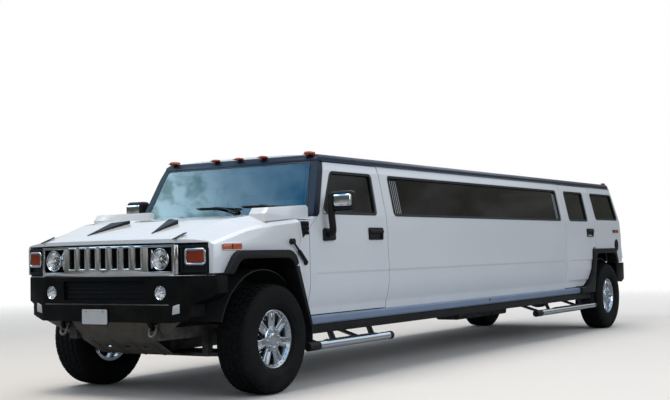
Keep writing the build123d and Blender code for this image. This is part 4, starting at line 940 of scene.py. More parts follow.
def build_rim(name):
    """Barrel with a rolled lip, seven double-ridged spokes, hub face, nuts, cap and valve."""
    barrel = turned(name, ((0.118, 0.229), (0.1165, 0.2325), (0.112, 0.233), (0.108, 0.229), (0.105, 0.216),
            (0.084, 0.2155), (0.058, 0.208), (-0.058, 0.208), (-0.084, 0.2155), (-0.105, 0.216),
            (-0.108, 0.229), (-0.118, 0.229), (-0.118, 0.204), (-0.088, 0.198), (0.04, 0.193),
            (0.062, 0.196), (0.09, 0.203), (0.1, 0.2075), (0.104, 0.212), (0.11, 0.214), (0.116, 0.22)),
                    (0, 0, 0), "y", 96)
    section = ((-0.046, 0.05), (-0.044, 0.086), (-0.039, 0.0955), (-0.017, 0.0965), (-0.01, 0.083),
               (0.01, 0.083), (0.017, 0.0965), (0.039, 0.0955), (0.044, 0.086), (0.046, 0.05))
    spoke = slab("spoke", [(x, y, 0.07) for x, y in section], (0, 0, 0.133))
    for vertex in spoke.data.vertices:
        if vertex.co.z < 0.1:
            vertex.co.x *= 0.72
        else:
            vertex.co.y += 0.004
    soften(spoke, 0.003, 3, 25)
    spokes = ring_of(spoke, SPOKES, HUB)
    hub = turned("hub", ((0.028, 0.0), (0.028, 0.09), (0.034, 0.097), (0.094, 0.101), (0.1, 0.099),
            (0.104, 0.093), (0.104, 0.052), (0.1075, 0.049), (0.111, 0.046), (0.1135, 0.036), (0.115, 0.02),
            (0.1155, 0.0)), (0, 0, 0), "y", 48)
    nut = turned("nut", ((0.1, 0.0), (0.1, 0.0125), (0.112, 0.0125), (0.1155, 0.009), (0.1165, 0.0)),
                 (0, 0, 0.072), "y", 6)
    nuts = ring_of(nut, NUTS, HUB, start=0.2)
    stud = turned("stud", ((0.085, 0.0), (0.085, 0.0055), (0.0915, 0.0055), (0.0935, 0.003), (0.094, 0.0)),
                  (0, 0, 0.2145), "y", 10)
    studs = ring_of(moved(stud, (0, 0.022, -0.004)), STUDS, HUB)
    valve = rod("valve", (0.03, 0.09, 0.192), (0.03, 0.114, 0.186), 0.004, 10, 0.001)
    spun(valve, math.pi / SPOKES, HUB, "Y")
    return join(name, barrel, spokes, hub, nuts, studs, valve)


def build_wheels():
    """Four tyres and rims from one pattern of each."""
    tyre, rim = build_tyre("tyre_pattern"), build_rim("rim_pattern")
    for place, x in (("front", FRONT_AXLE), ("rear", REAR_AXLE)):
        for side, sign in SIDES:
            for pattern, label, material in ((tyre, "tyre", TYRE), (rim, "rim", RIM_METAL)):
                piece = twin(pattern, f"{label}_{place}_{side}_finished")
                if sign < 0:
                    spun(piece, math.pi, (0, 0, 0), "Z")
                moved(piece, (x, sign * WHEEL_Y, AXLE_Z))
                give(piece, material, f"wheel_{place}_{side}", (f"{label}_{place}_{side}",), angle=30)
    bpy.data.objects.remove(tyre)
    bpy.data.objects.remove(rim)


# ---------------------------------------------------------------- front end
SLOT_COUNT, SLOT_PITCH = 7, 0.117
LAMP_Z = 1.086
PLATE_Y, BOLT_Y = -0.082, 0.0889        # middle of the front plate, and half the gap of a plate's bolts


def grille_x(y):
    """Face of the grille shell."""
    return front(0.866 - abs(y) * 0.04)


def nose_x(y):
    """Face of the black panel outboard of the grille."""
    return front(0.786 - (abs(y) - 0.72) * 0.1973)


def build_grille():
    """Chrome shell with a dark mesh and a bright rim in each slot."""
    grille = from_node("grille_shell", 0.013, 5, 30, "grille_finished")
    give(grille, CHROME, replaces=("grille_shell",))
    bars = []
    for index in range(SLOT_COUNT):
        y = (index - SLOT_COUNT // 2) * SLOT_PITCH
        x = grille_x(y) - 0.034
        bars.append(block(f"grille_core_{index}", (x - 0.012, y - 0.026, 1.022), (x, y + 0.026, 1.172)))
        for level in range(9):
            z = 1.032 + level * 0.0165
            bars.append(block(f"grille_fin_{index}_{level}", (x - 0.002, y - 0.028, z),
                    (x + 0.01, y + 0.028, z + 0.003)))
    give(join("grille_mesh", *bars), SLOT_DARK)
    rims = []
    for index in range(SLOT_COUNT):
        y = (index - SLOT_COUNT // 2) * SLOT_PITCH
        corners = [(grille_x(y) + 0.001, y + dy, z) for dy, z in oblong(-0.041, 1.006, 0.041, 1.188)]
        rims.append(strip_loop(f"slot_rim_{index}", corners, 0.01, (0.005, 0, 0), 0.012, 0.0018, 2))
    give(join("grille_slot_rims", *rims), CHROME)


MARKER_Y = (-0.77, -0.27, 0.0, 0.27, 0.77)


def build_headlamps():
    """Round lamps in their pockets, with ribbed reflectors."""
    x, y, z = front(0.806), 0.565, LAMP_Z
    pocket = []
    floor = block("lamp_floor", (x + 0.001, 0.447, 0.993), (x + 0.006, 0.675, 1.175))
    for low, high in (((0.447, 0.993), (0.451, 1.175)), ((0.671, 0.993), (0.675, 1.175)),
            ((0.447, 0.993), (0.675, 0.997)), ((0.447, 1.171), (0.675, 1.175))):
        pocket.append(block("lamp_wall", (x, low[0], low[1]), (grille_x(low[0]) - 0.006, high[0], high[1])))
    give(mirrored(join("headlamp_pockets", floor, *pocket)), SLOT_DARK)
    bowl = turned("headlamp_bowls", ((0.004, 0.0), (0.004, 0.02), (0.008, 0.048), (0.02, 0.068),
            (0.03, 0.073), (0.03, 0.078), (0.002, 0.078), (0.001, 0.0)), (x, y, z), "x", 48)
    bulb = turned("bulb", ((0.005, 0.0), (0.005, 0.014), (0.024, 0.014), (0.03, 0.008), (0.032, 0.0)),
                  (x, y, z), "x", 24)
    fins = []
    for index in range(10):
        fin = block(f"reflector_rib_{index}", (x + 0.012, y - 0.0012, z + 0.024),
                    (x + 0.027, y + 0.0012, z + 0.07))
        fins.append(spun(fin, index * math.pi / 5, (x, y, z), "X"))
    give(mirrored(join("headlamp_bowls", bowl, bulb, *fins)), REFLECTOR)
    ring = turned("headlamp_rings", ((0.028, 0.075), (0.036, 0.0745), (0.041, 0.078), (0.04, 0.083),
            (0.034, 0.086), (0.002, 0.086), (0.002, 0.079), (0.028, 0.079)), (x, y, z), "x", 64)
    give(mirrored(ring), CHROME)
    lens = turned("headlamp_lenses", ((0.033, 0.0745), (0.04, 0.06), (0.045, 0.038), (0.047, 0.016),
            (0.0475, 0.0), (0.045, 0.0), (0.0445, 0.016), (0.0425, 0.038), (0.0375, 0.06), (0.031, 0.0745)),
                  (x, y, z), "x", 64)
    give(mirrored(lens), LAMP_GLASS, replaces=("clear_lamps",))


def build_side_lamps():
    """Parking lamps, bright strips and turn lamps beside the headlamps."""
    small = turned("park_lamps", ((0.0, 0.0), (0.0, 0.021), (0.016, 0.021), (0.02, 0.016), (0.023, 0.0)),
                   (front(0.812), 0.468, LAMP_Z), "x", 32)
    for vertex in small.data.vertices:
        vertex.co.z = LAMP_Z + (vertex.co.z - LAMP_Z) * 3.4
    give(mirrored(small), CHROME)

    strip = slab("lamp_strips", [(nose_x(0.7) - 0.012, 0.697, 0.966), (nose_x(0.7) + 0.036, 0.699, 0.966),
            (nose_x(0.72) + 0.03, 0.716, 0.966), (nose_x(0.72) - 0.012, 0.718, 0.966)], (0, 0, 0.226))
    give(mirrored(soften(strip, 0.004, 3, 30)), CHROME)
    corners = [(nose_x(yy) + 0.001, yy, zz) for yy, zz in oblong(0.76, 1.036, 0.936, 1.164)]
    surround = strip_loop("turn_surrounds", corners, 0.018, (0.02, 0.004, 0), 0.03, 0.006, 3)
    give(mirrored(surround), CHROME)
    corners = [(nose_x(yy) + 0.001, yy, zz) for yy, zz in oblong(0.728, 0.985, 0.941, 1.182)]
    hollow = strip_loop("turn_recess_rims", corners, 0.012, (0.012, 0.0024, 0), 0.01, 0.003)
    give(mirrored(hollow), BLACK)
    corners = [(nose_x(yy) + 0.001, yy, zz) for yy, zz in oblong(0.78, 1.056, 0.916, 1.144)]
    lens = soften(slab("turn_lenses", corners, (0.014, 0.0028, 0), 0.018), 0.004, 3, 40)
    ribs = [block("rib", (nose_x(yy) + 0.01, yy, 1.064), (nose_x(yy) + 0.0175, yy + 0.005, 1.136), 0.0015,
                  1, 30) for yy in [0.792 + index * 0.0145 for index in range(8)]]
    give(mirrored(join("turn_lenses", lens, *ribs)), TURN_AMBER, replaces=("amber_lamps",))


def build_roof_markers():
    """Five amber domes over the windshield, each on its foot."""
    domes = []
    for yy in MARKER_Y:
        half, tall = (0.038, 0.03) if abs(yy) > 0.5 else (0.032, 0.022)
        corners = [(front(-0.885) + dx, yy + dy, 1.962) for dx, dy in oblong(-0.05, -half, 0.046, half)]
        domes.append(soften(slab("dome", corners, (0, 0, tall), 0.024), 0.01, 4, 40))
    give(join("roof_markers", *domes), AMBER)
    feet = []
    for yy in MARKER_Y:
        corners = [(front(-0.887) + dx, yy + dy, 1.9685) for dx, dy in oblong(0.0, -0.044, 0.054, 0.044)]
        feet.append(soften(slab("marker_foot", corners, (0, 0, 0.004), 0.014), 0.0015, 2, 40))
    give(join("roof_marker_feet", *feet), BLACK)


BUMPER_FACE = front(0.875)


def build_bumper_detail():
    """Bright line, steel strips along the top lips that are a painted highlight, and slatted recess of the
    front bumper.
    """
    line = slab("bumper_line", panel((BUMPER_FACE - 0.029, -0.655, 0.7385),
            (BUMPER_FACE - 0.029, 0.655, 0.7495)), (0.012, 0, 0))
    give(soften(line, 0.002, 2), STEEL)
    # Thin steel strips on the top edge at each end stand in for the light caught on that edge: a painted
    # highlight.
    lip = []
    for y0, y1 in ((0.665, 0.88), (0.88, 0.975)):
        corners = [(front(along(((0.66, 0.862), (0.89, 0.8), (0.99, 0.69)), yy)) + dx, yy, 0.9575)
                   for yy, dx in ((y0, -0.014), (y0, -0.002), (y1, -0.002), (y1, -0.014))]
        lip.append(slab("top_lip", corners, (0, 0, 0.006)))
    give(mirrored(soften(join("bumper_top_lips", *lip), 0.0015, 1)), STEEL)
    slats = []
    for level in range(4):
        z = 0.796 + level * 0.034
        slats.append(block("slat", (BUMPER_FACE - 0.029, -0.415, z), (BUMPER_FACE - 0.02, 0.415, z + 0.008),
                0.003, 2))
    back = block("recess_back", (BUMPER_FACE - 0.0285, -0.429, 0.773), (BUMPER_FACE - 0.0265, 0.429, 0.924))
    give(join("bumper_slats", back, *slats), SLOT_DARK)


def build_fog_lamps():
    """Round lamps in the front bumper, and the pale pads beside them."""
    x, y, z = front(0.826), 0.575, 0.835
    bowl = turned("fog_bowls", ((0.002, 0.0), (0.002, 0.012), (0.01, 0.034), (0.026, 0.045), (0.026, 0.049),
            (0.0005, 0.049), (0.0005, 0.0)), (x, y, z), "x", 40)
    bulb = turned("fog_bulb", ((0.003, 0.0), (0.003, 0.01), (0.02, 0.01), (0.025, 0.0)), (x, y, z), "x", 20)
    give(mirrored(join("fog_bowls", bowl, bulb)), REFLECTOR)
    lens = turned("fog_lenses", ((0.027, 0.046), (0.033, 0.03), (0.036, 0.012), (0.0365, 0.0), (0.034, 0.0),
            (0.0335, 0.012), (0.0305, 0.03), (0.0245, 0.046)), (x, y, z), "x", 48)
    give(mirrored(lens), LAMP_GLASS)
    ring = turned("fog_rings", ((0.018, 0.0495), (0.03, 0.0485), (0.034, 0.052), (0.03, 0.0565),
            (0.004, 0.057), (0.004, 0.05)), (x, y, z), "x", 48)
    give(mirrored(ring), CHROME)

    pad = slab("bumper_pads", [(front(0.853), 0.69, 0.67), (front(0.842), 0.752, 0.682),
            (front(0.842), 0.752, 0.752), (front(0.853), 0.698, 0.735)], (0.012, 0.003, 0))
    give(mirrored(soften(pad, 0.004, 2)), PLATE_WHITE)


def build_front_plate():
    """Bare plate on its holder, with two bolts."""
    back = BUMPER_FACE + 0.0005
    corners = panel((back, -0.224, 0.584), (back, 0.06, 0.7))
    holder = soften(slab("plate_holder", corners, (0.006, 0, 0), 0.01), 0.0015, 2, 40)
    tabs = []
    for y in (-0.211, 0.047):
        tabs.append(block("tab", (back, y - 0.013, 0.69), (back + 0.007, y + 0.013, 0.712), 0.003, 2))
    give(join("plate_holder", holder, *tabs), BUMPER_BLACK)
    corners = panel((back + 0.007, -0.217, 0.59), (back + 0.007, 0.053, 0.706))
    plate = soften(slab("front_plate", corners, (0.0016, 0, 0), 0.012), 0.0006, 1, 40)
    corners = panel((back + 0.0086, -0.208, 0.599), (back + 0.0086, 0.044, 0.697))
    bead = strip_loop("plate_bead", corners, 0.003, (0.0012, 0, 0), 0.01, 0.0005, 1, outward=True)
    give(join("front_plate", plate, bead), PLATE_WHITE)
    bolts = []
    for y in (PLATE_Y - BOLT_Y, PLATE_Y + BOLT_Y):
        bolts.append(turned("plate_bolt", ((0.008, 0.0), (0.008, 0.0065), (0.011, 0.0065), (0.0125, 0.004),
                (0.013, 0.0)), (back, y, 0.69), "x", 6))
    give(join("plate_bolts", *bolts), STEEL)


def build_tow_gear():
    """Tow shackles, and the ribs and wings of the skid plate."""
    shackles = []
    for y in (-0.47, 0.47):
        x, z = front(0.812), 0.588
        loop = tube("loop", ((x, y - 0.024, z), (x + 0.014, y - 0.034, z - 0.03),
                (x + 0.03, y - 0.03, z - 0.075), (x + 0.034, y, z - 0.092), (x + 0.03, y + 0.03, z - 0.075),
                (x + 0.014, y + 0.034, z - 0.03), (x, y + 0.024, z)), 0.0105, 4)
        pin = rod("pin", (x, y - 0.04, z), (x, y + 0.044, z), 0.0125, 20, 0.003)
        shackles.extend((loop, pin))
    give(join("tow_shackles", *shackles), ALLOY)
    wing = slab("skid_wings", [(front(0.815), 0.49, 0.614), (front(0.8), 0.715, 0.614),
            (front(0.73), 0.49, 0.495)], (-0.004, 0, -0.003))
    give(mirrored(soften(wing, 0.0015, 1)), ALLOY)
    ribs = []
    for y in (-0.3, -0.1, 0.1, 0.3):
        corners = [(front(x), y - 0.012, z - 0.0005)
                   for x, z in ((0.7, 0.452), (0.5, 0.335), (0.5, 0.329), (0.7, 0.446))]
        ribs.append(slab("skid_rib", corners, (0, 0.024, 0)))
    give(soften(join("skid_ribs", *ribs), 0.002, 2), ALLOY)


# ---------------------------------------------------------------- hood furniture
HOOD_ROWS = ((-0.59, 1.446), (-0.05, 1.428), (0.3, 1.39), (0.7, 1.29), (0.9, 1.222))


def hood_z(x):
    return along(HOOD_ROWS, x)


def build_hood_detail():
    """Vents, side markers and corner gaps of the hood."""
    liners = []
    for index in range(4):
        t = 0.3 + index * 0.15
        x0, y0 = 0.69 - 0.295 * t - 0.01, 0.345 + 0.02 * t - 0.014
        x1, y1 = 0.69 - 0.36 * t - 0.01, 0.345 - 0.13 * t + 0.014
        low = hood_z((x0 + x1) / 2) - 0.004
        corners = [(front(x0), y0, low), (front(x1), y1, low), (front(x1 + 0.012), y1, low + 0.004),
                   (front(x0 + 0.012), y0, low + 0.004)]
        liners.append(slab("vent_bar", corners, (-0.003, 0, 0.005)))
    give(mirrored(soften(join("hood_vent_bars", *liners), 0.001, 1)), SLOT_DARK, "hood")
    finished("hood_markers", AMBER, "hood", ease=(0.003, 3, 30))
    corners = [(front(x), 0.9852, z) for x, z in oblong(0.383, 1.142, 0.628, 1.198)]
    bezel = strip_loop("hood_marker_bezels", corners, 0.007, (0, 0.006, 0), 0.014, 0.0015, 2)
    give(mirrored(bezel), CHROME, "hood")
    band = slab("hood_marker_bars", panel((front(0.5), 0.994, 1.15), (front(0.512), 0.994, 1.19)),
                (0, 0.0015, 0))
    give(mirrored(band), BLACK, "hood")
    corners = [(front(x), y, hood_z(x) - 0.01) for x, y in ((0.846, 0.712), (0.7, 0.712), (0.716, 0.688),
            (0.846, 0.69))]
    give(mirrored(slab("hood_corner_gaps", corners, (0, 0, 0.006))), BLACK, "hood")
    panes = []
    for level in range(3):
        z = 1.262 + level * 0.036
        corners = [(front(-0.436), 0.9915, z), (front(-0.524), 0.9915, z),
                   (front(-0.524), 0.9915, z + 0.026), (front(-0.432), 0.9915, z + 0.026)]
        if level == 0:
            corners[0] = (front(-0.468), 0.9915, z)
            corners[3] = (front(-0.445), 0.9915, z + 0.026)
        panes.append(soften(slab("vent_pane", corners, (0, 0.005, 0)), 0.002, 1))
    give(mirrored(join("side_vent_panes", *panes)), SLOT_DARK)


def glass_x(z):
    """Front face of the windshield glass."""
    return front(-0.599 - (z - 1.392) * 0.4854)


def build_wipers():
    """Wipers, washer jets and the grille under the windshield."""
    arms, blades = [], []
    for y_pivot, y_tip, y_far in ((0.16, -0.07, -0.42), (0.64, 0.43, 0.09)):
        z0, z1 = 1.484, 1.532
        base = turned("pivot", ((0.0, 0.0), (0.0, 0.022), (0.02, 0.018), (0.026, 0.0)),
                (glass_x(z0) + 0.004, y_pivot, z0), "x", 24)
        arms.append(base)
        arms.append(tube("arm", ((glass_x(z0) + 0.026, y_pivot, z0),
                (glass_x(z0) + 0.036, y_pivot - 0.05, z0 + 0.01),
                (glass_x(z1) + 0.034, y_tip + 0.05, z1 - 0.004), (glass_x(z1) + 0.022, y_tip - 0.03, z1)),
                0.0075, 3))
        spine = tube("spine", ((glass_x(1.512) + 0.016, y_tip + 0.22, 1.512),
                (glass_x(z1) + 0.024, y_tip, z1), (glass_x(1.53) + 0.016, y_far + 0.14, 1.53)), 0.005, 3)
        edge = slab("edge", [(glass_x(1.507) + 0.003, y_tip + 0.26, 1.507),
                (glass_x(1.507) + 0.014, y_tip + 0.26, 1.51), (glass_x(1.525) + 0.014, y_far + 0.1, 1.528),
                (glass_x(1.525) + 0.003, y_far + 0.1, 1.525)], (0, 0, 0.006))
        blades.extend((spine, edge))
    give(join("wiper_arms", *arms, *blades), BLACK)
    jets = []
    for y in (-0.3, 0.3):
        z = hood_z(-0.42)
        jets.append(block("jet", (front(-0.435), y - 0.012, z - 0.002),
                (front(-0.405), y + 0.012, z + 0.01), 0.003, 2))
    give(join("washer_jets", *jets), BLACK, "hood")
    cowl = []
    for index in range(26):
        y = -0.75 + index * 0.06
        cowl.append(block("cowl_slat", (front(-0.612), y - 0.02, 1.3925), (front(-0.6), y + 0.02, 1.402)))
    tray = block("cowl_tray", (front(-0.603), -0.895, 1.352), (front(-0.601), 0.895, 1.392))
    give(soften(join("cowl_grille", tray, *cowl), 0.002, 1), BLACK)


# ---------------------------------------------------------------- glass and rubber


def on_wall(points, depth=0.0):
    """Points (x, z) of the left side laid on the outer wall, or behind it by depth."""
    return [(x, wall_y(z) - depth, z) for x, z in points]


WINDOWS = (("body_long", "body", ((front(-1.99), 1.44), (front(-1.99), WINDOW_TOP),
        (rear(1.52), WINDOW_TOP), (rear(1.52), 1.44))),
           ("body_quarter", "body", ((rear(0.275), 1.466), (rear(0.315), WINDOW_TOP),
        (rear(-0.5), WINDOW_TOP), (rear(-0.585), 1.466))),
           ("front", "door_front_left", ((front(-0.77), 1.442), (front(-1.005), WINDOW_TOP),
        (front(-1.69), WINDOW_TOP), (front(-1.672), 1.442))),
           ("rear", "door_rear_left", ((rear(1.24), 1.442), (rear(1.255), WINDOW_TOP),
        (rear(0.605), WINDOW_TOP), (rear(0.59), 1.442))))


def build_seals():
    """Black strips round each side window, on the outer wall and down to the glass."""
    for label, body, corners in WINDOWS:
        inner = strip_loop(f"seal_{label}_left", on_wall(corners, 0.019), 0.016, (0, 0.017, 0), 0.038)
        lip = strip_loop(f"lip_{label}_left", on_wall(corners, 0.0015), 0.007, (0, 0.004, 0), 0.038,
                outward=True)
        pair(join(f"seal_{label}_left", inner, lip), RUBBER, body)
    gate = [(tail_x(z), y, z) for y, z in ((-0.638, 1.455), (-0.598, 1.805), (0.598, 1.805),
            (0.638, 1.455))]
    lip = strip_loop("gate_glass_lip", [(x + 0.004, y, z) for x, y, z in gate], 0.012, (-0.008, 0, 0),
            0.038, outward=True)
    inner = strip_loop("gate_glass_seal", [(x + 0.018, y, z) for x, y, z in gate], 0.018, (-0.016, 0, 0),
            0.038)
    give(join("gate_glass_seal", lip, inner), RUBBER, "tailgate")


def build_glass():
    """The fixed panes as separate objects, so that the front one has its own tint."""
    fixed = from_node("fixed_glass", 0.0015, 1, 40)
    drop_faces(fixed, lambda centre: centre.x > front(-1.1))
    corners = [(glass_x(z), y, z) for y, z in ((-0.89, 1.426), (-0.806, 1.888), (0.806, 1.888),
            (0.89, 1.426))]
    pane = slab("windshield_glass_finished", corners, (-0.0045, 0, -0.0022), 0.03)
    give(fixed, DARK_GLASS, replaces=("fixed_glass",))
    give(pane, FRONT_GLASS)
    for label, body in (("front", "door_front"), ("rear", "door_rear")):
        for side in ("left", "right"):
            node = f"door_{label}_{side}_glass"
            finished(node, DARK_GLASS, f"{body}_{side}", ease=(0.0015, 1, 40))
    finished("tailgate_glass", DARK_GLASS, "tailgate", ease=(0.0015, 1, 40))


def build_etched_lines():
    """Pale vertical lines at both ends of the long windows."""
    lines = []
    for start, count, gap in ((front(-2.035), 5, 0.034), (rear(1.6), 4, 0.026)):
        for index in range(count):
            x = start - index * gap
            corners = [(x + dx, wall_y(z) - 0.0198, z)
                    for dx, z in ((0.0, 1.462), (0.01, 1.462), (0.016, 1.775), (0.006, 1.775))]
            lines.append(slab(f"line_{index}", corners, (0, 0.0008, 0)))
    give(mirrored(join("etched_lines", *lines)), ETCHED)


# ---------------------------------------------------------------- door furniture
def handle(name, x0, x1, z0, z1):
    """Square black cup with a raised pull bar and a lock barrel."""
    y = wall_y((z0 + z1) / 2)
    outer = soften(slab(f"{name}_base", panel((x0, y - 0.002, z0), (x1, y - 0.002, z1)), (0, 0.016, 0),
            0.014), 0.005, 3, 40)
    hole = slab(f"{name}_cup",
                panel((x0 + 0.018, y + 0.002, z0 + 0.014), (x1 - 0.018, y + 0.002, z1 - 0.03)),
                (0, 0.03, 0), 0.01)
    outer = cut(outer, hole)
    pull = soften(slab(f"{name}_pull",
            panel((x0 + 0.01, y + 0.01, z1 - 0.052), (x1 - 0.01, y + 0.01, z1 - 0.022)), (0, 0.016, 0),
            0.01), 0.005, 3, 40)
    lock = turned(f"{name}_lock", ((0.0, 0.0), (0.0, 0.01), (0.0175, 0.01), (0.0195, 0.007), (0.0185, 0.0)),
                  (x0 + 0.03, y, z0 + 0.024), "y", 24)
    return join(name, outer, pull, lock)


def build_mirror(name):
    """Left outside mirror: foot, arm and shell."""
    x = front(-0.8)
    foot = soften(slab("foot", [(front(-0.928), 0.986, 1.214), (front(-0.74), 0.986, 1.206),
            (front(-0.74), 0.986, 1.318), (front(-0.915), 0.986, 1.31)], (0, 0.02, 0), 0.02), 0.006, 3, 40)
    arm = tube("arm", ((x - 0.012, 0.992, 1.262), (x - 0.01, 1.036, 1.262), (x + 0.006, 1.062, 1.3),
            (x + 0.026, 1.066, 1.4), (x + 0.034, 1.068, 1.5), (x + 0.034, 1.068, 1.6)), 0.027, 8)
    for vertex in arm.data.vertices:
        vertex.co.x = x + (vertex.co.x - x) * 1.35
    shell = block("shell", (x - 0.052, 1.054, 1.452), (x + 0.058, 1.266, 1.628))
    shell = soften(shell, 0.03, 5, 30)
    front_face = block("front_face", (x + 0.04, 1.086, 1.488), (x + 0.09, 1.3, 1.606))
    soften(front_face, 0.01, 3, 30)
    shell = cut(shell, front_face)
    pocket = block("pocket", (x - 0.1, 1.07, 1.468), (x - 0.042, 1.25, 1.612))
    soften(pocket, 0.012, 3, 30)
    shell = cut(shell, pocket)
    return join(name, foot, arm, shell)


def build_mirrors():
    """Both outside mirrors with chrome caps and glass."""
    x = front(-0.8)
    mirror = build_mirror("mirror_left")
    cap = block("mirror_cap_left", (x + 0.02, 1.094, 1.492), (x + 0.066, 1.2675, 1.602))
    soften(cap, 0.021, 5, 30)
    face = soften(slab("mirror_glass_left", panel((x - 0.045, 1.073, 1.471), (x - 0.045, 1.247, 1.609)),
            (0.003, 0, 0), 0.012), 0.0008, 1, 40)
    for piece, material in ((mirror, BLACK), (cap, CHROME), (face, REFLECTOR)):
        pair(piece, material, "door_front_left")


def build_door_furniture():
    """Outside door handles."""
    places = (("front", front(-1.742), front(-1.493), 1.214, 1.325),
              ("rear", rear(0.439), rear(0.669), 1.236, 1.344))
    for label, x0, x1, z0, z1 in places:
        pull = handle(f"pull_{label}_left", x0, x1, z0, z1)
        pair(pull, BLACK, f"door_{label}_left", (f"door_{label}_left_fittings",))


# ---------------------------------------------------------------- sides, roof and rear
def build_roof_detail():
    """Marker feet, drip rails, ribs and aerial fin."""
    x = rear(-0.48)
    feet = [block("foot", (x - 0.036, y - 0.026, 1.958), (x + 0.03, y + 0.026, 1.974), 0.003, 2)
            for y in (-0.812, 0.812)]
    give(join("rear_marker_feet", *feet), BLACK)
    x0, x1 = front(-0.9), rear(-0.52)
    drip = slab("drip_rails", [(x0, 0.874, 1.902), (x1, 0.874, 1.902), (x1, 0.866, 1.914),
            (x0, 0.866, 1.914)], (0, 0.007, 0))
    give(mirrored(soften(drip, 0.002, 2)), RAIL_BLACK)
    ribs = []
    for index in range(6):
        y = -0.5 + index * 0.2
        ribs.append(block("roof_rib", (rear(-0.3), y - 0.016, 1.9835), (front(-1.15), y + 0.016, 1.9885),
                0.004, 2))
    give(join("roof_ribs", *ribs), PAINT)
    fin = slab("aerial_fin", [(rear(0.3), -0.01, 1.984), (rear(0.14), -0.014, 1.984),
            (rear(0.14), 0.014, 1.984), (rear(0.3), 0.01, 1.984)], (-0.03, 0, 0.045))
    give(soften(fin, 0.006, 3, 30), BLACK)


def build_side_detail():
    """Fuel cap, side markers, sill lamps and hood latches."""
    cap = turned("fuel_cap", ((-0.01, 0.0), (-0.01, 0.082), (0.004, 0.084), (0.009, 0.08), (0.009, 0.066),
            (0.003, 0.062), (0.003, 0.046), (0.011, 0.042), (0.013, 0.0)), (rear(-0.469), 0.975, 1.116),
                 "y", 48)
    grip = block("grip", (rear(-0.469) - 0.036, 0.984, 1.108), (rear(-0.469) + 0.036, 0.994, 1.124), 0.004,
                 2)
    give(join("fuel_cap", cap, grip), BLACK)
    corners = on_wall(oblong(rear(-0.333), 1.292, rear(-0.553), 1.331))
    lamp = slab("rear_side_markers", [(x, y - 0.002, z) for x, y, z in corners], (0, 0.012, 0), 0.012)
    give(mirrored(soften(lamp, 0.004, 3, 40)), BLACK)
    lens = slab("rear_side_lenses",
                [(x + dx, y + 0.008, z + dz)
                 for (x, y, z), dx, dz in zip(corners, (-0.008, 0.008, 0.008, -0.008),
            (0.007, 0.007, -0.007, -0.007))], (0, 0.005, 0), 0.006)
    give(mirrored(soften(lens, 0.002, 2, 40)), RED)
    small = block("sill_lamps", (front(-3.985), 0.998, 0.548), (front(-3.953), 1.008, 0.57), 0.003, 2)
    give(mirrored(small), RED)
    latches = []
    strap = slab("strap", [(front(-0.29), 1.0, 1.19), (front(-0.262), 1.0, 1.212),
            (front(-0.44), 1.002, 1.04), (front(-0.47), 1.002, 1.02)], (0, 0.012, 0))
    latches.append(soften(strap, 0.004, 2, 30))
    for x, z in ((-0.272, 1.205), (-0.462, 1.028)):
        latches.append(turned("stud", ((0.0, 0.0), (0.0, 0.02), (0.02, 0.02), (0.024, 0.014), (0.025, 0.0)),
                (front(x), 0.985, z), "y", 24))
    give(mirrored(join("hood_latch_caps", *latches)), BLACK, "hood")


def build_steps():
    """End caps, treads and brackets of the side steps, and the black strip under the sill."""
    caps, pads = [], []
    for x0, x1 in ((front(-0.465), front(-1.824)), (rear(2.477), rear(0.51))):
        for x, way in ((x0, 1), (x1, -1)):
            reach = 0.15 if x0 == x else 0.05
            profile = ((-0.006, 0.0), (-0.006, 0.034), (0.0, 0.0385), (reach, 0.0385),
                    (reach + 0.004, 0.036), (reach, 0.0))
            caps.append(turned("step_cap", profile, (x, 1.0, 0.334), "x", 32, -way))
        middle = (x0 + x1) / 2
        pad = slab("pad", panel((middle - 0.42, 0.976, 0.3655), (middle + 0.42, 1.024, 0.3655)),
                   (0, 0, 0.008), 0.016)
        pads.append(soften(pad, 0.003, 2, 40))
        for index in range(16):
            x = middle - 0.375 + index * 0.05
            pads.append(block("rib", (x - 0.008, 0.981, 0.372), (x + 0.008, 1.019, 0.3775), 0.002, 1))
    legs = []
    for x in (front(-0.87), front(-1.51), rear(2.05), rear(0.98)):
        leg = slab("leg", [(x - 0.045, 0.995, 0.352), (x + 0.045, 0.995, 0.352), (x + 0.038, 0.925, 0.512),
                (x - 0.038, 0.925, 0.512)], (0, -0.01, -0.004))
        rib = slab("leg_rib", [(x - 0.008, 0.995, 0.352), (x + 0.008, 0.995, 0.352),
                (x + 0.008, 0.925, 0.512), (x - 0.008, 0.925, 0.512)], (0, 0.012, 0.005))
        legs.extend((soften(leg, 0.002, 2, 30), soften(rib, 0.002, 1, 30)))
    give(mirrored(join("step_brackets", *legs)), BLACK)
    seam = block("sill_pinch", (rear(0.55), 0.905, 0.432), (front(-0.56), 0.968, 0.514), 0.003, 2)
    give(mirrored(seam), BLACK)
    give(mirrored(join("step_caps", *caps)), BLACK)
    give(mirrored(join("step_pads", *pads)), RUBBER)


def build_rear_detail():
    """Tail lamps with their splits and rims."""
    tail = rear(-0.6635)
    splits = []
    finished("tail_lamps", RED, ease=(0.005, 3, 30))
    for low, high in ((1.082, 1.086), (1.158, 1.162)):
        splits.append(block("split", (tail - 0.03, 0.822, low), (tail - 0.012, 0.928, high)))
    give(mirrored(join("tail_lamp_splits", *splits)), BLACK)
    corners = [(tail_x(z) + 0.001, y, z) for y, z in oblong(0.812, 1.002, 0.938, 1.248)]
    rim = strip_loop("tail_lamp_rims", corners, 0.01, (-0.012, 0, 0), 0.016, 0.003, 2)
    give(mirrored(rim), BLACK)


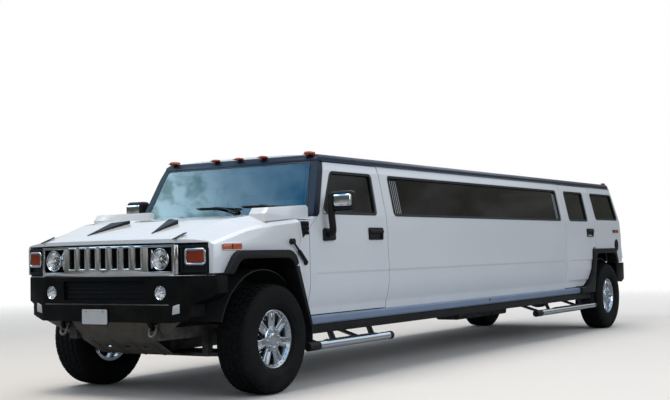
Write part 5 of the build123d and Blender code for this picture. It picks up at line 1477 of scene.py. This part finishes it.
def build_gate_detail():
    """Plate, grip, lamps and wiper on the tailgate."""
    x = tail_x(1.1)
    corners = panel((x + 0.002, -0.3, 1.01), (x + 0.002, 0.3, 1.21))
    board = soften(slab("gate_panel", corners, (-0.014, 0, 0), 0.02), 0.004, 2, 40)
    grip = block("gate_grip", (x - 0.04, -0.16, 1.226), (x + 0.004, 0.16, 1.262), 0.01, 3)
    give(join("gate_panel", board, grip), BLACK, "tailgate")
    corners = panel((x - 0.0125, -0.1525, 1.032), (x - 0.0125, 0.1525, 1.184))
    plate = soften(slab("rear_plate", corners, (-0.002, 0, 0), 0.012), 0.0006, 1, 40)
    give(plate, PLATE_WHITE, "tailgate")
    screws = [turned("screw", ((0.0, 0.0), (0.0, 0.007), (-0.003, 0.0065), (-0.0035, 0.0)),
            (x - 0.0145, y, 1.163), "x", 12) for y in (-BOLT_Y, BOLT_Y)]
    lights = [block("plate_lamp", (x - 0.03, y - 0.02, 1.196), (x - 0.01, y + 0.02, 1.208), 0.003, 2)
              for y in (-0.09, 0.09)]
    give(join("plate_screws", *screws, *lights), STEEL, "tailgate")
    zt = 1.842
    third = block("high_brake_lamp", (tail_x(zt) - 0.018, -0.2, zt - 0.014),
                  (tail_x(zt) + 0.006, 0.2, zt + 0.014), 0.005, 3)
    give(third, RED, "tailgate")
    zw = 1.432
    pivot = turned("rear_wiper", ((0.004, 0.0), (0.004, 0.026), (-0.022, 0.022), (-0.028, 0.0)),
                   (tail_x(zw), 0.0, zw), "x", 24)
    arm = tube("arm", ((tail_x(zw) - 0.024, 0.0, zw), (tail_x(1.5) - 0.022, -0.06, 1.5),
            (tail_x(1.56) - 0.01, -0.32, 1.56)), 0.007, 3)
    blade = tube("blade", ((tail_x(1.5) + 0.004, -0.06, 1.512), (tail_x(1.56) - 0.002, -0.3, 1.568),
            (tail_x(1.6) + 0.004, -0.5, 1.612)), 0.005, 3)
    give(join("rear_wiper", pivot, arm, blade), BLACK, "tailgate")


def build_rear_bumper_detail():
    """Treads, reflectors and sensors of the rear bumper."""
    pads = []
    for y0, y1 in ((-0.9, -0.56), (0.56, 0.9)):
        for index in range(7):
            y = y0 + 0.02 + index * (y1 - y0 - 0.04) / 6
            pads.append(block("tread", (rear(-0.815), y - 0.012, 0.869), (rear(-0.675), y + 0.012, 0.876),
                    0.003, 1))
    for index in range(15):
        y = -0.49 + index * 0.07
        pads.append(block("tread", (rear(-0.815), y - 0.014, 0.859), (rear(-0.675), y + 0.014, 0.866),
                0.003, 1))
    give(join("bumper_treads", *pads), RUBBER)
    dots = [turned("reflector", ((0.0, 0.0), (0.0, 0.034), (-0.006, 0.032), (-0.007, 0.0)),
                   (rear(-0.8265), y, 0.74), "x", 28) for y in (-0.72, 0.72)]
    give(join("bumper_reflectors", *dots), RED)
    sensors = [turned("sensor", ((0.0, 0.0), (0.0, 0.013), (-0.003, 0.012), (-0.0035, 0.0)),
            (rear(-0.8268), y, 0.76), "x", 20) for y in (-0.46, -0.16, 0.16, 0.46)]
    give(join("bumper_sensors", *sensors), TRIM_DARK)


# ---------------------------------------------------------------- cabin
FLOOR = 0.6
SEAT_Y = 0.435                         # middle of a front seat
DIAL_Z = 1.312
PARTITION = front(-1.97)


def cushion(name, size, centre, tilt=0.0, channels=4, crown=0.022, cells=16, roll=0.03):
    """Stuffed pad with a crowned top, pulled-in pleats along x and a rolled edge."""
    made = block(name, [-s / 2 for s in size], [s / 2 for s in size])
    edit(made)
    bpy.ops.mesh.subdivide(number_cuts=cells - 1)
    leave_edit()
    soften(made, min(roll, size[2] * 0.45), 4, 40)
    for vertex in made.data.vertices:
        u, v = 2 * vertex.co.x / size[0], 2 * vertex.co.y / size[1]
        high = max(0.0, 2 * vertex.co.z / size[2])
        fold = abs(math.sin(math.pi * channels * (v + 1) / 2)) if channels else 1.0
        puff = (1 - u ** 4) * (1 - v ** 4)
        vertex.co.z += high * (crown * puff - 0.01 * (1 - min(1.0, fold * 2.2)) * (1 - u ** 6))
        vertex.co.y += 0.006 * v * (1 - abs(2 * vertex.co.z / size[2]) ** 2)
    spun(made, tilt, (0, 0, 0), "Y")
    return moved(made, centre)


def piping(name, size, centre, tilt=0.0):
    """Cord sewn round a pad's top edge."""
    half = [s / 2 - 0.012 for s in size]
    corners = oblong(-half[0], -half[1], half[0], half[1])
    loop = strip_loop(name, [(x, y, size[2] / 2 - 0.011) for x, y in corners], 0.007, (0, 0, 0.007), 0.03,
            0.003, outward=True)
    spun(loop, tilt, (0, 0, 0), "Y")
    return moved(loop, centre)


def chair(name, y):
    """Front seat on the left at y: pads, bolsters, back and head rest."""
    parts = []
    lean = math.radians(-78)
    for size, centre, tilt, channels in (((0.47, 0.36, 0.15), (front(-1.4), y, 0.925), math.radians(-5), 4),
            ((0.47, 0.34, 0.13), (front(-1.685), y, 1.225), lean, 4)):
        parts.append(cushion("pad", size, centre, tilt, channels))
        parts.append(piping("cord", (size[0], size[1], size[2] + 0.03), centre, tilt))
    for sign in (-1, 1):
        parts.append(cushion("bolster", (0.47, 0.085, 0.18), (front(-1.4), y + sign * 0.212, 0.93),
                math.radians(-5), 0, 0.012, 10))
        parts.append(cushion("bolster", (0.44, 0.08, 0.17), (front(-1.68), y + sign * 0.205, 1.205), lean,
                0, 0.012, 10))
    parts.append(cushion("head", (0.2, 0.27, 0.11), (front(-1.765), y, 1.565), lean, 0, 0.016, 10))
    return join(name, *parts)


def build_front_seats():
    """Front seats, their frames and the console."""
    seats = join("front_seats", chair("driver_seat", SEAT_Y), chair("passenger_seat", -SEAT_Y))
    give(seats, LEATHER, replaces=("seats",))
    hard = []
    for y in (-SEAT_Y, SEAT_Y):
        hard.append(block("base", (front(-1.64), y - 0.2, FLOOR), (front(-1.2), y + 0.2, 0.845), 0.02, 3))
        hard.append(soften(slab("shell",
                [(front(x), y - 0.225, z) for x, z in ((-1.7, 0.93), (-1.755, 0.93), (-1.868, 1.455),
                (-1.812, 1.455))], (0, 0.45, 0)), 0.018, 3))
        for dy in (-0.07, 0.07):
            hard.append(rod("post", (front(-1.755), y + dy, 1.44), (front(-1.775), y + dy, 1.54), 0.007,
                    12))
    console = block("console", (front(-1.72), -0.135, FLOOR), (front(-0.9), 0.135, 0.88), 0.02, 3)
    lid = block("console_lid", (front(-1.7), -0.125, 0.88), (front(-1.4), 0.125, 0.912), 0.014, 3)
    hard.extend((console, lid))
    give(join("seat_frames", *hard), TRIM_DARK)


def build_belts():
    """Front belts and their buckles."""
    belts = []
    for side in (-1, 1):
        belts.append(slab("belt", [(front(-1.845), side * 0.77, 1.5), (front(-1.845), side * 0.77, 0.7),
                (front(-1.8), side * 0.77, 0.7), (front(-1.8), side * 0.77, 1.5)], (0, side * 0.003, 0)))
        belts.append(block("buckle", (front(-1.66), side * 0.15 - 0.014, 0.86),
                (front(-1.6), side * 0.15 + 0.014, 0.97), 0.004, 2))
    give(join("belts", *belts), RUBBER)


def build_lounge():
    """Side bench along the right wall, rear seat and carpet."""
    bench, rear_seat = [], []
    start, stop = rear(1.575), PARTITION - 0.105
    count = 6
    pitch = (stop - start) / count
    for index in range(count):
        x = start + pitch * (index + 0.5)
        seat = cushion("seat", (0.52, pitch - 0.008, 0.15), (0, 0, 0), 0.0, 5, 0.02, 15)
        spun(seat, math.pi / 2, (0, 0, 0), "Z")
        bench.append(moved(seat, (x, -0.56, 0.895)))
        back = cushion("back", (0.4, pitch - 0.008, 0.1), (0, 0, 0), math.radians(-80), 5, 0.02, 15)
        spun(back, math.pi / 2, (0, 0, 0), "Z")
        bench.append(moved(back, (x, -0.808, 1.155)))
    seats = join("lounge_bench", *bench)
    give(seats, LEATHER)
    for index in range(3):
        y = (index - 1) * 0.452
        rear_seat.append(cushion("seat", (0.48, 0.444, 0.16), (rear(0.085), y, 0.935), math.radians(-3), 4))
        rear_seat.append(cushion("back", (0.48, 0.444, 0.12), (rear(-0.215), y, 1.225), math.radians(-78),
                4))
    seats = join("rear_seat", *rear_seat)
    give(seats, LEATHER)
    hard = [block("plinth", (start - 0.005, -0.872, FLOOR), (stop + 0.005, -0.335, 0.822), 0.008, 2),
            block("back_board", (start - 0.005, -0.88, 0.822), (stop + 0.005, -0.852, 1.35), 0.006, 2),
            block("rear_plinth", (rear(-0.355), -0.676, FLOOR), (rear(0.3), 0.676, 0.858), 0.01, 2),
            block("rear_back", (rear(-0.358), -0.676, 0.858), (rear(-0.3), 0.676, 1.435), 0.01, 2)]
    give(join("bench_bases", *hard), TRIM_DARK)
    lit = block("bench_light_strip", (start + 0.02, -0.336, 0.64), (stop - 0.02, -0.331, 0.648))
    give(lit, CHROME)
    mat = block("lounge_carpet", (rear(0.62), -0.325, FLOOR), (PARTITION - 0.002, 0.515, FLOOR + 0.007))
    give(mat, CARPET)


def build_bar():
    """Bar along the left wall: doors, rail, glasses and ice buckets."""
    finished("bar_cabinet", BAR_GLOSS, ease=(0.01, 3))
    start, stop = rear(1.74), PARTITION - 0.305
    count = 8
    pitch = (stop - start) / count
    fronts, knobs, glassware, racks = [], [], [], []
    for index in range(count):
        x0 = start + pitch * index
        fronts.append(block("door", (x0 + 0.01, 0.506, 0.66), (x0 + pitch - 0.01, 0.521, 1.19), 0.004, 2))
        knobs.append(rod("knob", (x0 + pitch - 0.045, 0.507, 0.96), (x0 + pitch - 0.045, 0.507, 1.1), 0.005,
                12, 0.002))
    give(join("bar_doors", *fronts), BAR_GLOSS)
    for index in range(24):
        x = start + 0.3 + index * 0.125
        glassware.append(turned("glass", ((0.0, 0.0), (0.0, 0.03), (0.003, 0.03), (0.006, 0.006),
                (0.07, 0.005), (0.08, 0.02), (0.11, 0.034), (0.165, 0.03), (0.165, 0.028), (0.112, 0.031),
                (0.084, 0.016), (0.079, 0.0)), (x, 0.64 + 0.11 * (index % 2), 1.262), "z", 20))
    for x in (start + 0.12, stop - 0.14):
        racks.append(turned("bucket", ((0.0, 0.0), (0.0, 0.075), (0.17, 0.095), (0.178, 0.1),
                (0.178, 0.094), (0.17, 0.089), (0.008, 0.07), (0.008, 0.0)), (x, 0.7, 1.262), "z", 32))
    rail = tube("rail", ((start, 0.505, 1.3), (start + 0.05, 0.505, 1.302), (stop - 0.05, 0.505, 1.302),
            (stop, 0.505, 1.3)), 0.008, 3)
    for index in range(6):
        x = start + 0.05 + index * (stop - start - 0.1) / 5
        racks.append(rod("rail_post", (x, 0.505, 1.258), (x, 0.505, 1.302), 0.006, 12))
    give(join("bar_bright", rail, *racks, *knobs), CHROME)
    give(join("bar_glasses", *glassware), LAMP_GLASS)


def build_dashboard():
    """Dashboard with its hood, stack, glove box and top pad."""
    finished("dashboard", TRIM_DARK, ease=(0.012, 3))
    hood = soften(slab("binnacle", [(front(-0.8), 0.24, 1.3), (front(-0.985), 0.24, 1.285),
            (front(-0.985), 0.24, 1.34), (front(-0.9), 0.24, 1.362), (front(-0.8), 0.24, 1.34)],
            (0, 0.38, 0)), 0.014, 3)
    stack = soften(slab("stack", [(front(-0.9), -0.15, 0.9), (front(-0.965), -0.15, 0.9),
            (front(-0.972), -0.15, 1.19), (front(-0.93), -0.15, 1.3), (front(-0.86), -0.15, 1.3)],
            (0, 0.3, 0)), 0.012, 3)
    glove = soften(slab("glove", [(front(-0.895), -0.7, 1.03), (front(-0.905), -0.7, 1.03),
            (front(-0.96), -0.7, 1.185), (front(-0.95), -0.7, 1.185)], (0, 0.44, 0)), 0.004, 2)
    tray = block("top_pad", (front(-0.86), -0.86, 1.302), (front(-0.6), 0.22, 1.32), 0.008, 2)
    give(join("dash_parts", hood, stack, glove, tray), BLACK)


def build_dials():
    """Dials, controls, vents and screen of the dashboard."""
    rings, faces = [], []
    for y, radius in ((0.335, 0.052), (0.435, 0.04), (0.525, 0.052)):
        x = front(-0.986)
        rings.append(turned("dial_rim", ((-0.004, radius - 0.006), (-0.01, radius - 0.004),
                (-0.01, radius + 0.001), (0.0, radius + 0.003), (0.004, radius)), (x, y, DIAL_Z), "x", 40))
        faces.append(turned("dial", ((0.002, 0.0), (0.002, radius), (-0.003, radius), (-0.004, 0.0)),
                (x, y, DIAL_Z), "x", 40))
    for level in range(3):
        for y in (-0.085, 0.0, 0.085):
            z = 0.96 + level * 0.055
            rings.append(turned("control", ((0.004, 0.0), (0.004, 0.02), (-0.014, 0.018), (-0.016, 0.014),
                    (-0.016, 0.0)), (front(-0.971), y, z), "x", 20))
    for y in (-0.83, -0.11, 0.11, 0.83):
        corners = [(front(-0.958), y + dy, z) for dy, z in oblong(-0.052, 1.205, 0.052, 1.262)]
        rings.append(strip_loop("vent_rim", corners, 0.006, (-0.012, 0, 0), 0.01, 0.002, 2, outward=True))
    give(join("dash_bright", *rings), ALLOY)
    screen = block("screen", (front(-0.978), -0.105, 1.125), (front(-0.968), 0.105, 1.185), 0.003, 2)
    give(join("dash_faces", screen, *faces), SLOT_DARK)


def build_controls():
    """Steering wheel, stalks, lever and pedals."""
    centre = Vector((front(-1.105), 0.43, 1.235))
    axis = Vector((-190, 0, 65)).normalized()
    side = Vector((0, 1, 0))
    grip = turned("wheel_grip",
                  [(0.0165 * math.cos(a * math.pi / 6), 0.185 + 0.0165 * math.sin(a * math.pi / 6))
                   for a in range(12)], centre, (axis, side), 72)
    pad = turned("wheel_pad", ((-0.03, 0.0), (-0.03, 0.06), (0.004, 0.078), (0.016, 0.07), (0.022, 0.0)),
                 centre, (axis, side), 40)
    give(join("wheel_grip", grip, pad), LEATHER)
    stalks = []
    for sign in (-1, 1):
        base = centre - axis * 0.07
        stalks.append(tube("stalk",
                (base, base + side * sign * 0.09, base + side * sign * 0.17 + axis * 0.03), 0.007, 3))
    lever = tube("lever", ((front(-1.18), 0.0, 0.875), (front(-1.19), 0.0, 0.95),
            (front(-1.17), 0.0, 1.02)), 0.011, 4)
    knob = turned("knob", ((-0.01, 0.0), (-0.01, 0.016), (0.02, 0.026), (0.045, 0.022), (0.055, 0.0)),
                  (front(-1.17), 0, 1.01), "z", 24)
    pedals = [block("pedal", (front(-0.76), y - w, 0.7), (front(-0.735), y + w, 0.8), 0.006, 2)
              for y, w in ((0.46, 0.055), (0.3, 0.03))]
    legs = [rod("pedal_arm", (front(-0.746), y, 0.79), (front(-0.7), y, 1.0), 0.008, 12)
            for y in (0.46, 0.3)]
    give(join("driver_controls", lever, knob, *stalks, *pedals, *legs), BLACK)


def build_cabin_mirror():
    """Inside mirror and sun visors."""
    mirror = block("cabin_mirror", (front(-0.905), -0.125, 1.765), (front(-0.88), 0.125, 1.832), 0.01, 3)
    stem = rod("mirror_stem", (front(-0.885), 0.0, 1.82), (front(-0.868), 0.0, 1.885), 0.008, 12)
    visors = [block("visor", (front(-1.12), y - 0.19, 1.868), (front(-0.93), y + 0.19, 1.886), 0.008, 3)
              for y in (-0.4, 0.4)]
    give(join("cabin_mirror", mirror, stem, *visors), HEADLINER)


def build_door_cards():
    """Armrest, pull and speaker on the cabin side of each door."""
    for label, x0, x1 in (("front", front(-1.74), front(-0.72)), ("rear", rear(0.48), rear(1.3))):
        y = 0.904
        middle = (x0 + x1) / 2
        rest = block("rest", (x0 + 0.06, y - 0.062, 1.06), (x1 - 0.08, y + 0.002, 1.125), 0.016, 4)
        pad = block("pad", (x0 + 0.05, y - 0.02, 1.13), (x1 - 0.07, y + 0.002, 1.33), 0.012, 3)
        bin_face = block("bin", (x0 + 0.06, y - 0.045, 0.7), (x1 - 0.32, y + 0.002, 0.86), 0.012, 3)
        ring = turned("speaker", ((0.0, 0.0), (0.0, 0.085), (-0.01, 0.082), (-0.013, 0.07), (-0.008, 0.066),
                (-0.008, 0.0)), (x1 - 0.2, y + 0.002, 0.8), "y", 40)
        pull = tube("pull", ((middle - 0.1, y, 1.165), (middle - 0.09, y - 0.045, 1.165),
                (middle + 0.09, y - 0.045, 1.165), (middle + 0.1, y, 1.165)), 0.01, 4)
        switches = [block("switch", (middle + dx, y - 0.055, 1.124),
                (middle + dx + 0.035, y - 0.035, 1.132), 0.002, 2) for dx in (0.14, 0.19)]
        card = join(f"door_card_{label}_left", rest, pad, bin_face, ring, pull, *switches)
        pair(card, TRIM_DARK, f"door_{label}_left")


# ---------------------------------------------------------------- engine bay and underside
def build_engine_bay():
    """What shows under the open hood."""
    finished("engine_block", CAST, ease=(0.012, 3))
    covers, black = [], []
    for sign in (-1, 1):
        cover = block("valve_cover", (front(-0.33), sign * 0.215 - 0.062, 1.148),
                (front(0.22), sign * 0.215 + 0.062, 1.195), 0.016, 3)
        covers.append(cover)
        for index in range(4):
            x = front(-0.26 + index * 0.14)
            black.append(tube("lead", ((x, sign * 0.13, 1.152), (x, sign * 0.16, 1.19),
                    (x + 0.02, sign * 0.24, 1.212), (x + 0.02, sign * 0.27, 1.16)), 0.006, 3))
    for index in range(8):
        x = front(-0.27 + index * 0.065)
        covers.append(tube("runner", ((x, -0.145, 1.15), (x, -0.1, 1.205), (x, 0.1, 1.205),
                (x, 0.145, 1.15)), 0.021, 5))
    plenum = block("intake", (front(-0.3), -0.072, 1.165), (front(0.24), 0.072, 1.222), 0.018, 3)
    covers.append(plenum)
    give(join("engine_covers", *covers), ALLOY)
    box = block("air_box", (front(0.1), 0.42, 0.92), (front(0.5), 0.74, 1.16), 0.03, 4)
    duct = tube("duct", ((front(0.22), 0.46, 1.1), (front(0.3), 0.3, 1.18), (front(0.3), 0.1, 1.2),
            (front(0.23), 0.0, 1.195)), 0.042, 6)
    battery = block("battery", (front(0.12), -0.74, 0.92), (front(0.44), -0.44, 1.12), 0.008, 2)
    shelf = block("shelf", (front(0.08), -0.76, 0.895), (front(0.52), -0.42, 0.922))
    shelf_left = block("shelf_left", (front(0.08), 0.4, 0.895), (front(0.52), 0.76, 0.922))
    shroud = block("shroud", (front(0.47), -0.36, 0.64), (front(0.53), 0.36, 1.12), 0.02, 3)
    fuse = block("fuse_box", (front(-0.3), 0.48, 1.02), (front(-0.06), 0.66, 1.14), 0.012, 3)
    post = block("fuse_post", (front(-0.24), 0.44, 0.62), (front(-0.12), 0.5, 1.03))
    black.extend((box, duct, battery, shelf, shelf_left, shroud, fuse, post))
    for y in (-0.3, 0.3):
        black.append(tube("hose", ((front(0.34), y * 0.5, 1.08), (front(0.42), y, 1.11),
                (front(0.54), y, 1.09)), 0.022, 5))
    give(join("engine_bay_parts", *black), BLACK)
    core = block("radiator", (front(0.53), -0.385, 0.64), (front(0.575), 0.385, 1.13), 0.006, 2)
    fins = [block("fin", (front(0.5745), -0.37, 0.655 + index * 0.0195),
                  (front(0.579), 0.37, 0.659 + index * 0.0195)) for index in range(24)]
    give(join("radiator", core, *fins), STEEL)
    caps = [turned("cap", ((0.0, 0.0), (0.0, 0.03), (0.018, 0.03), (0.022, 0.024), (0.022, 0.0)), place,
                   "z", 24) for place in ((front(0.55), 0.2, 1.126), (front(0.05), 0.215, 1.19))]
    posts = [turned("post", ((0.0, 0.0), (0.0, 0.009), (0.018, 0.008), (0.018, 0.0)),
                    (front(x), -0.5, 1.118), "z", 16) for x in (0.18, 0.38)]
    give(join("engine_caps", *caps, *posts), CHROME)


def build_underside():
    """Shock absorbers, mud flaps and frame bolts."""
    shocks = []
    for x in (FRONT_AXLE, REAR_AXLE):
        for sign in (-1, 1):
            shocks.append(rod("shock", (x - 0.15, sign * 0.545, 0.42), (x - 0.15, sign * 0.52, 0.62), 0.034,
                    20, 0.006))
            shocks.append(rod("shock_rod", (x - 0.15, sign * 0.52, 0.6), (x - 0.15, sign * 0.505, 0.74),
                    0.014, 16))
    give(join("shock_absorbers", *shocks), FRAME_BLACK)
    flaps = []
    for x in (rear(0.512), front(-0.56)):
        flaps.append(block("flap", (x - 0.004, 0.735, 0.335), (x + 0.004, 0.985, 0.56), 0.002, 1))
    give(mirrored(join("mud_flaps", *flaps)), RUBBER)
    bolts = []
    for index in range(10):
        x = front(-0.7) - index * 0.62
        for y in (0.4, 0.48):
            bolts.append(turned("bolt", ((0.0, 0.0), (0.0, 0.014), (-0.01, 0.014), (-0.011, 0.0)),
                    (x, y, 0.4655), "z", 6))
    give(mirrored(join("frame_bolts", *bolts)), STEEL)


for build in (dress_nodes, build_stage, build_shells, build_hood, build_wheels, build_grille,
              build_headlamps, build_side_lamps, build_roof_markers, build_bumper_detail, build_fog_lamps,
              build_front_plate, build_tow_gear, build_hood_detail, build_wipers, build_seals, build_glass,
              build_etched_lines, build_mirrors, build_door_furniture, build_roof_detail, build_side_detail,
              build_steps, build_rear_detail, build_gate_detail, build_rear_bumper_detail,
              build_front_seats, build_belts, build_lounge, build_bar, build_dashboard, build_dials,
              build_controls, build_cabin_mirror, build_door_cards, build_engine_bay, build_underside):
    build()
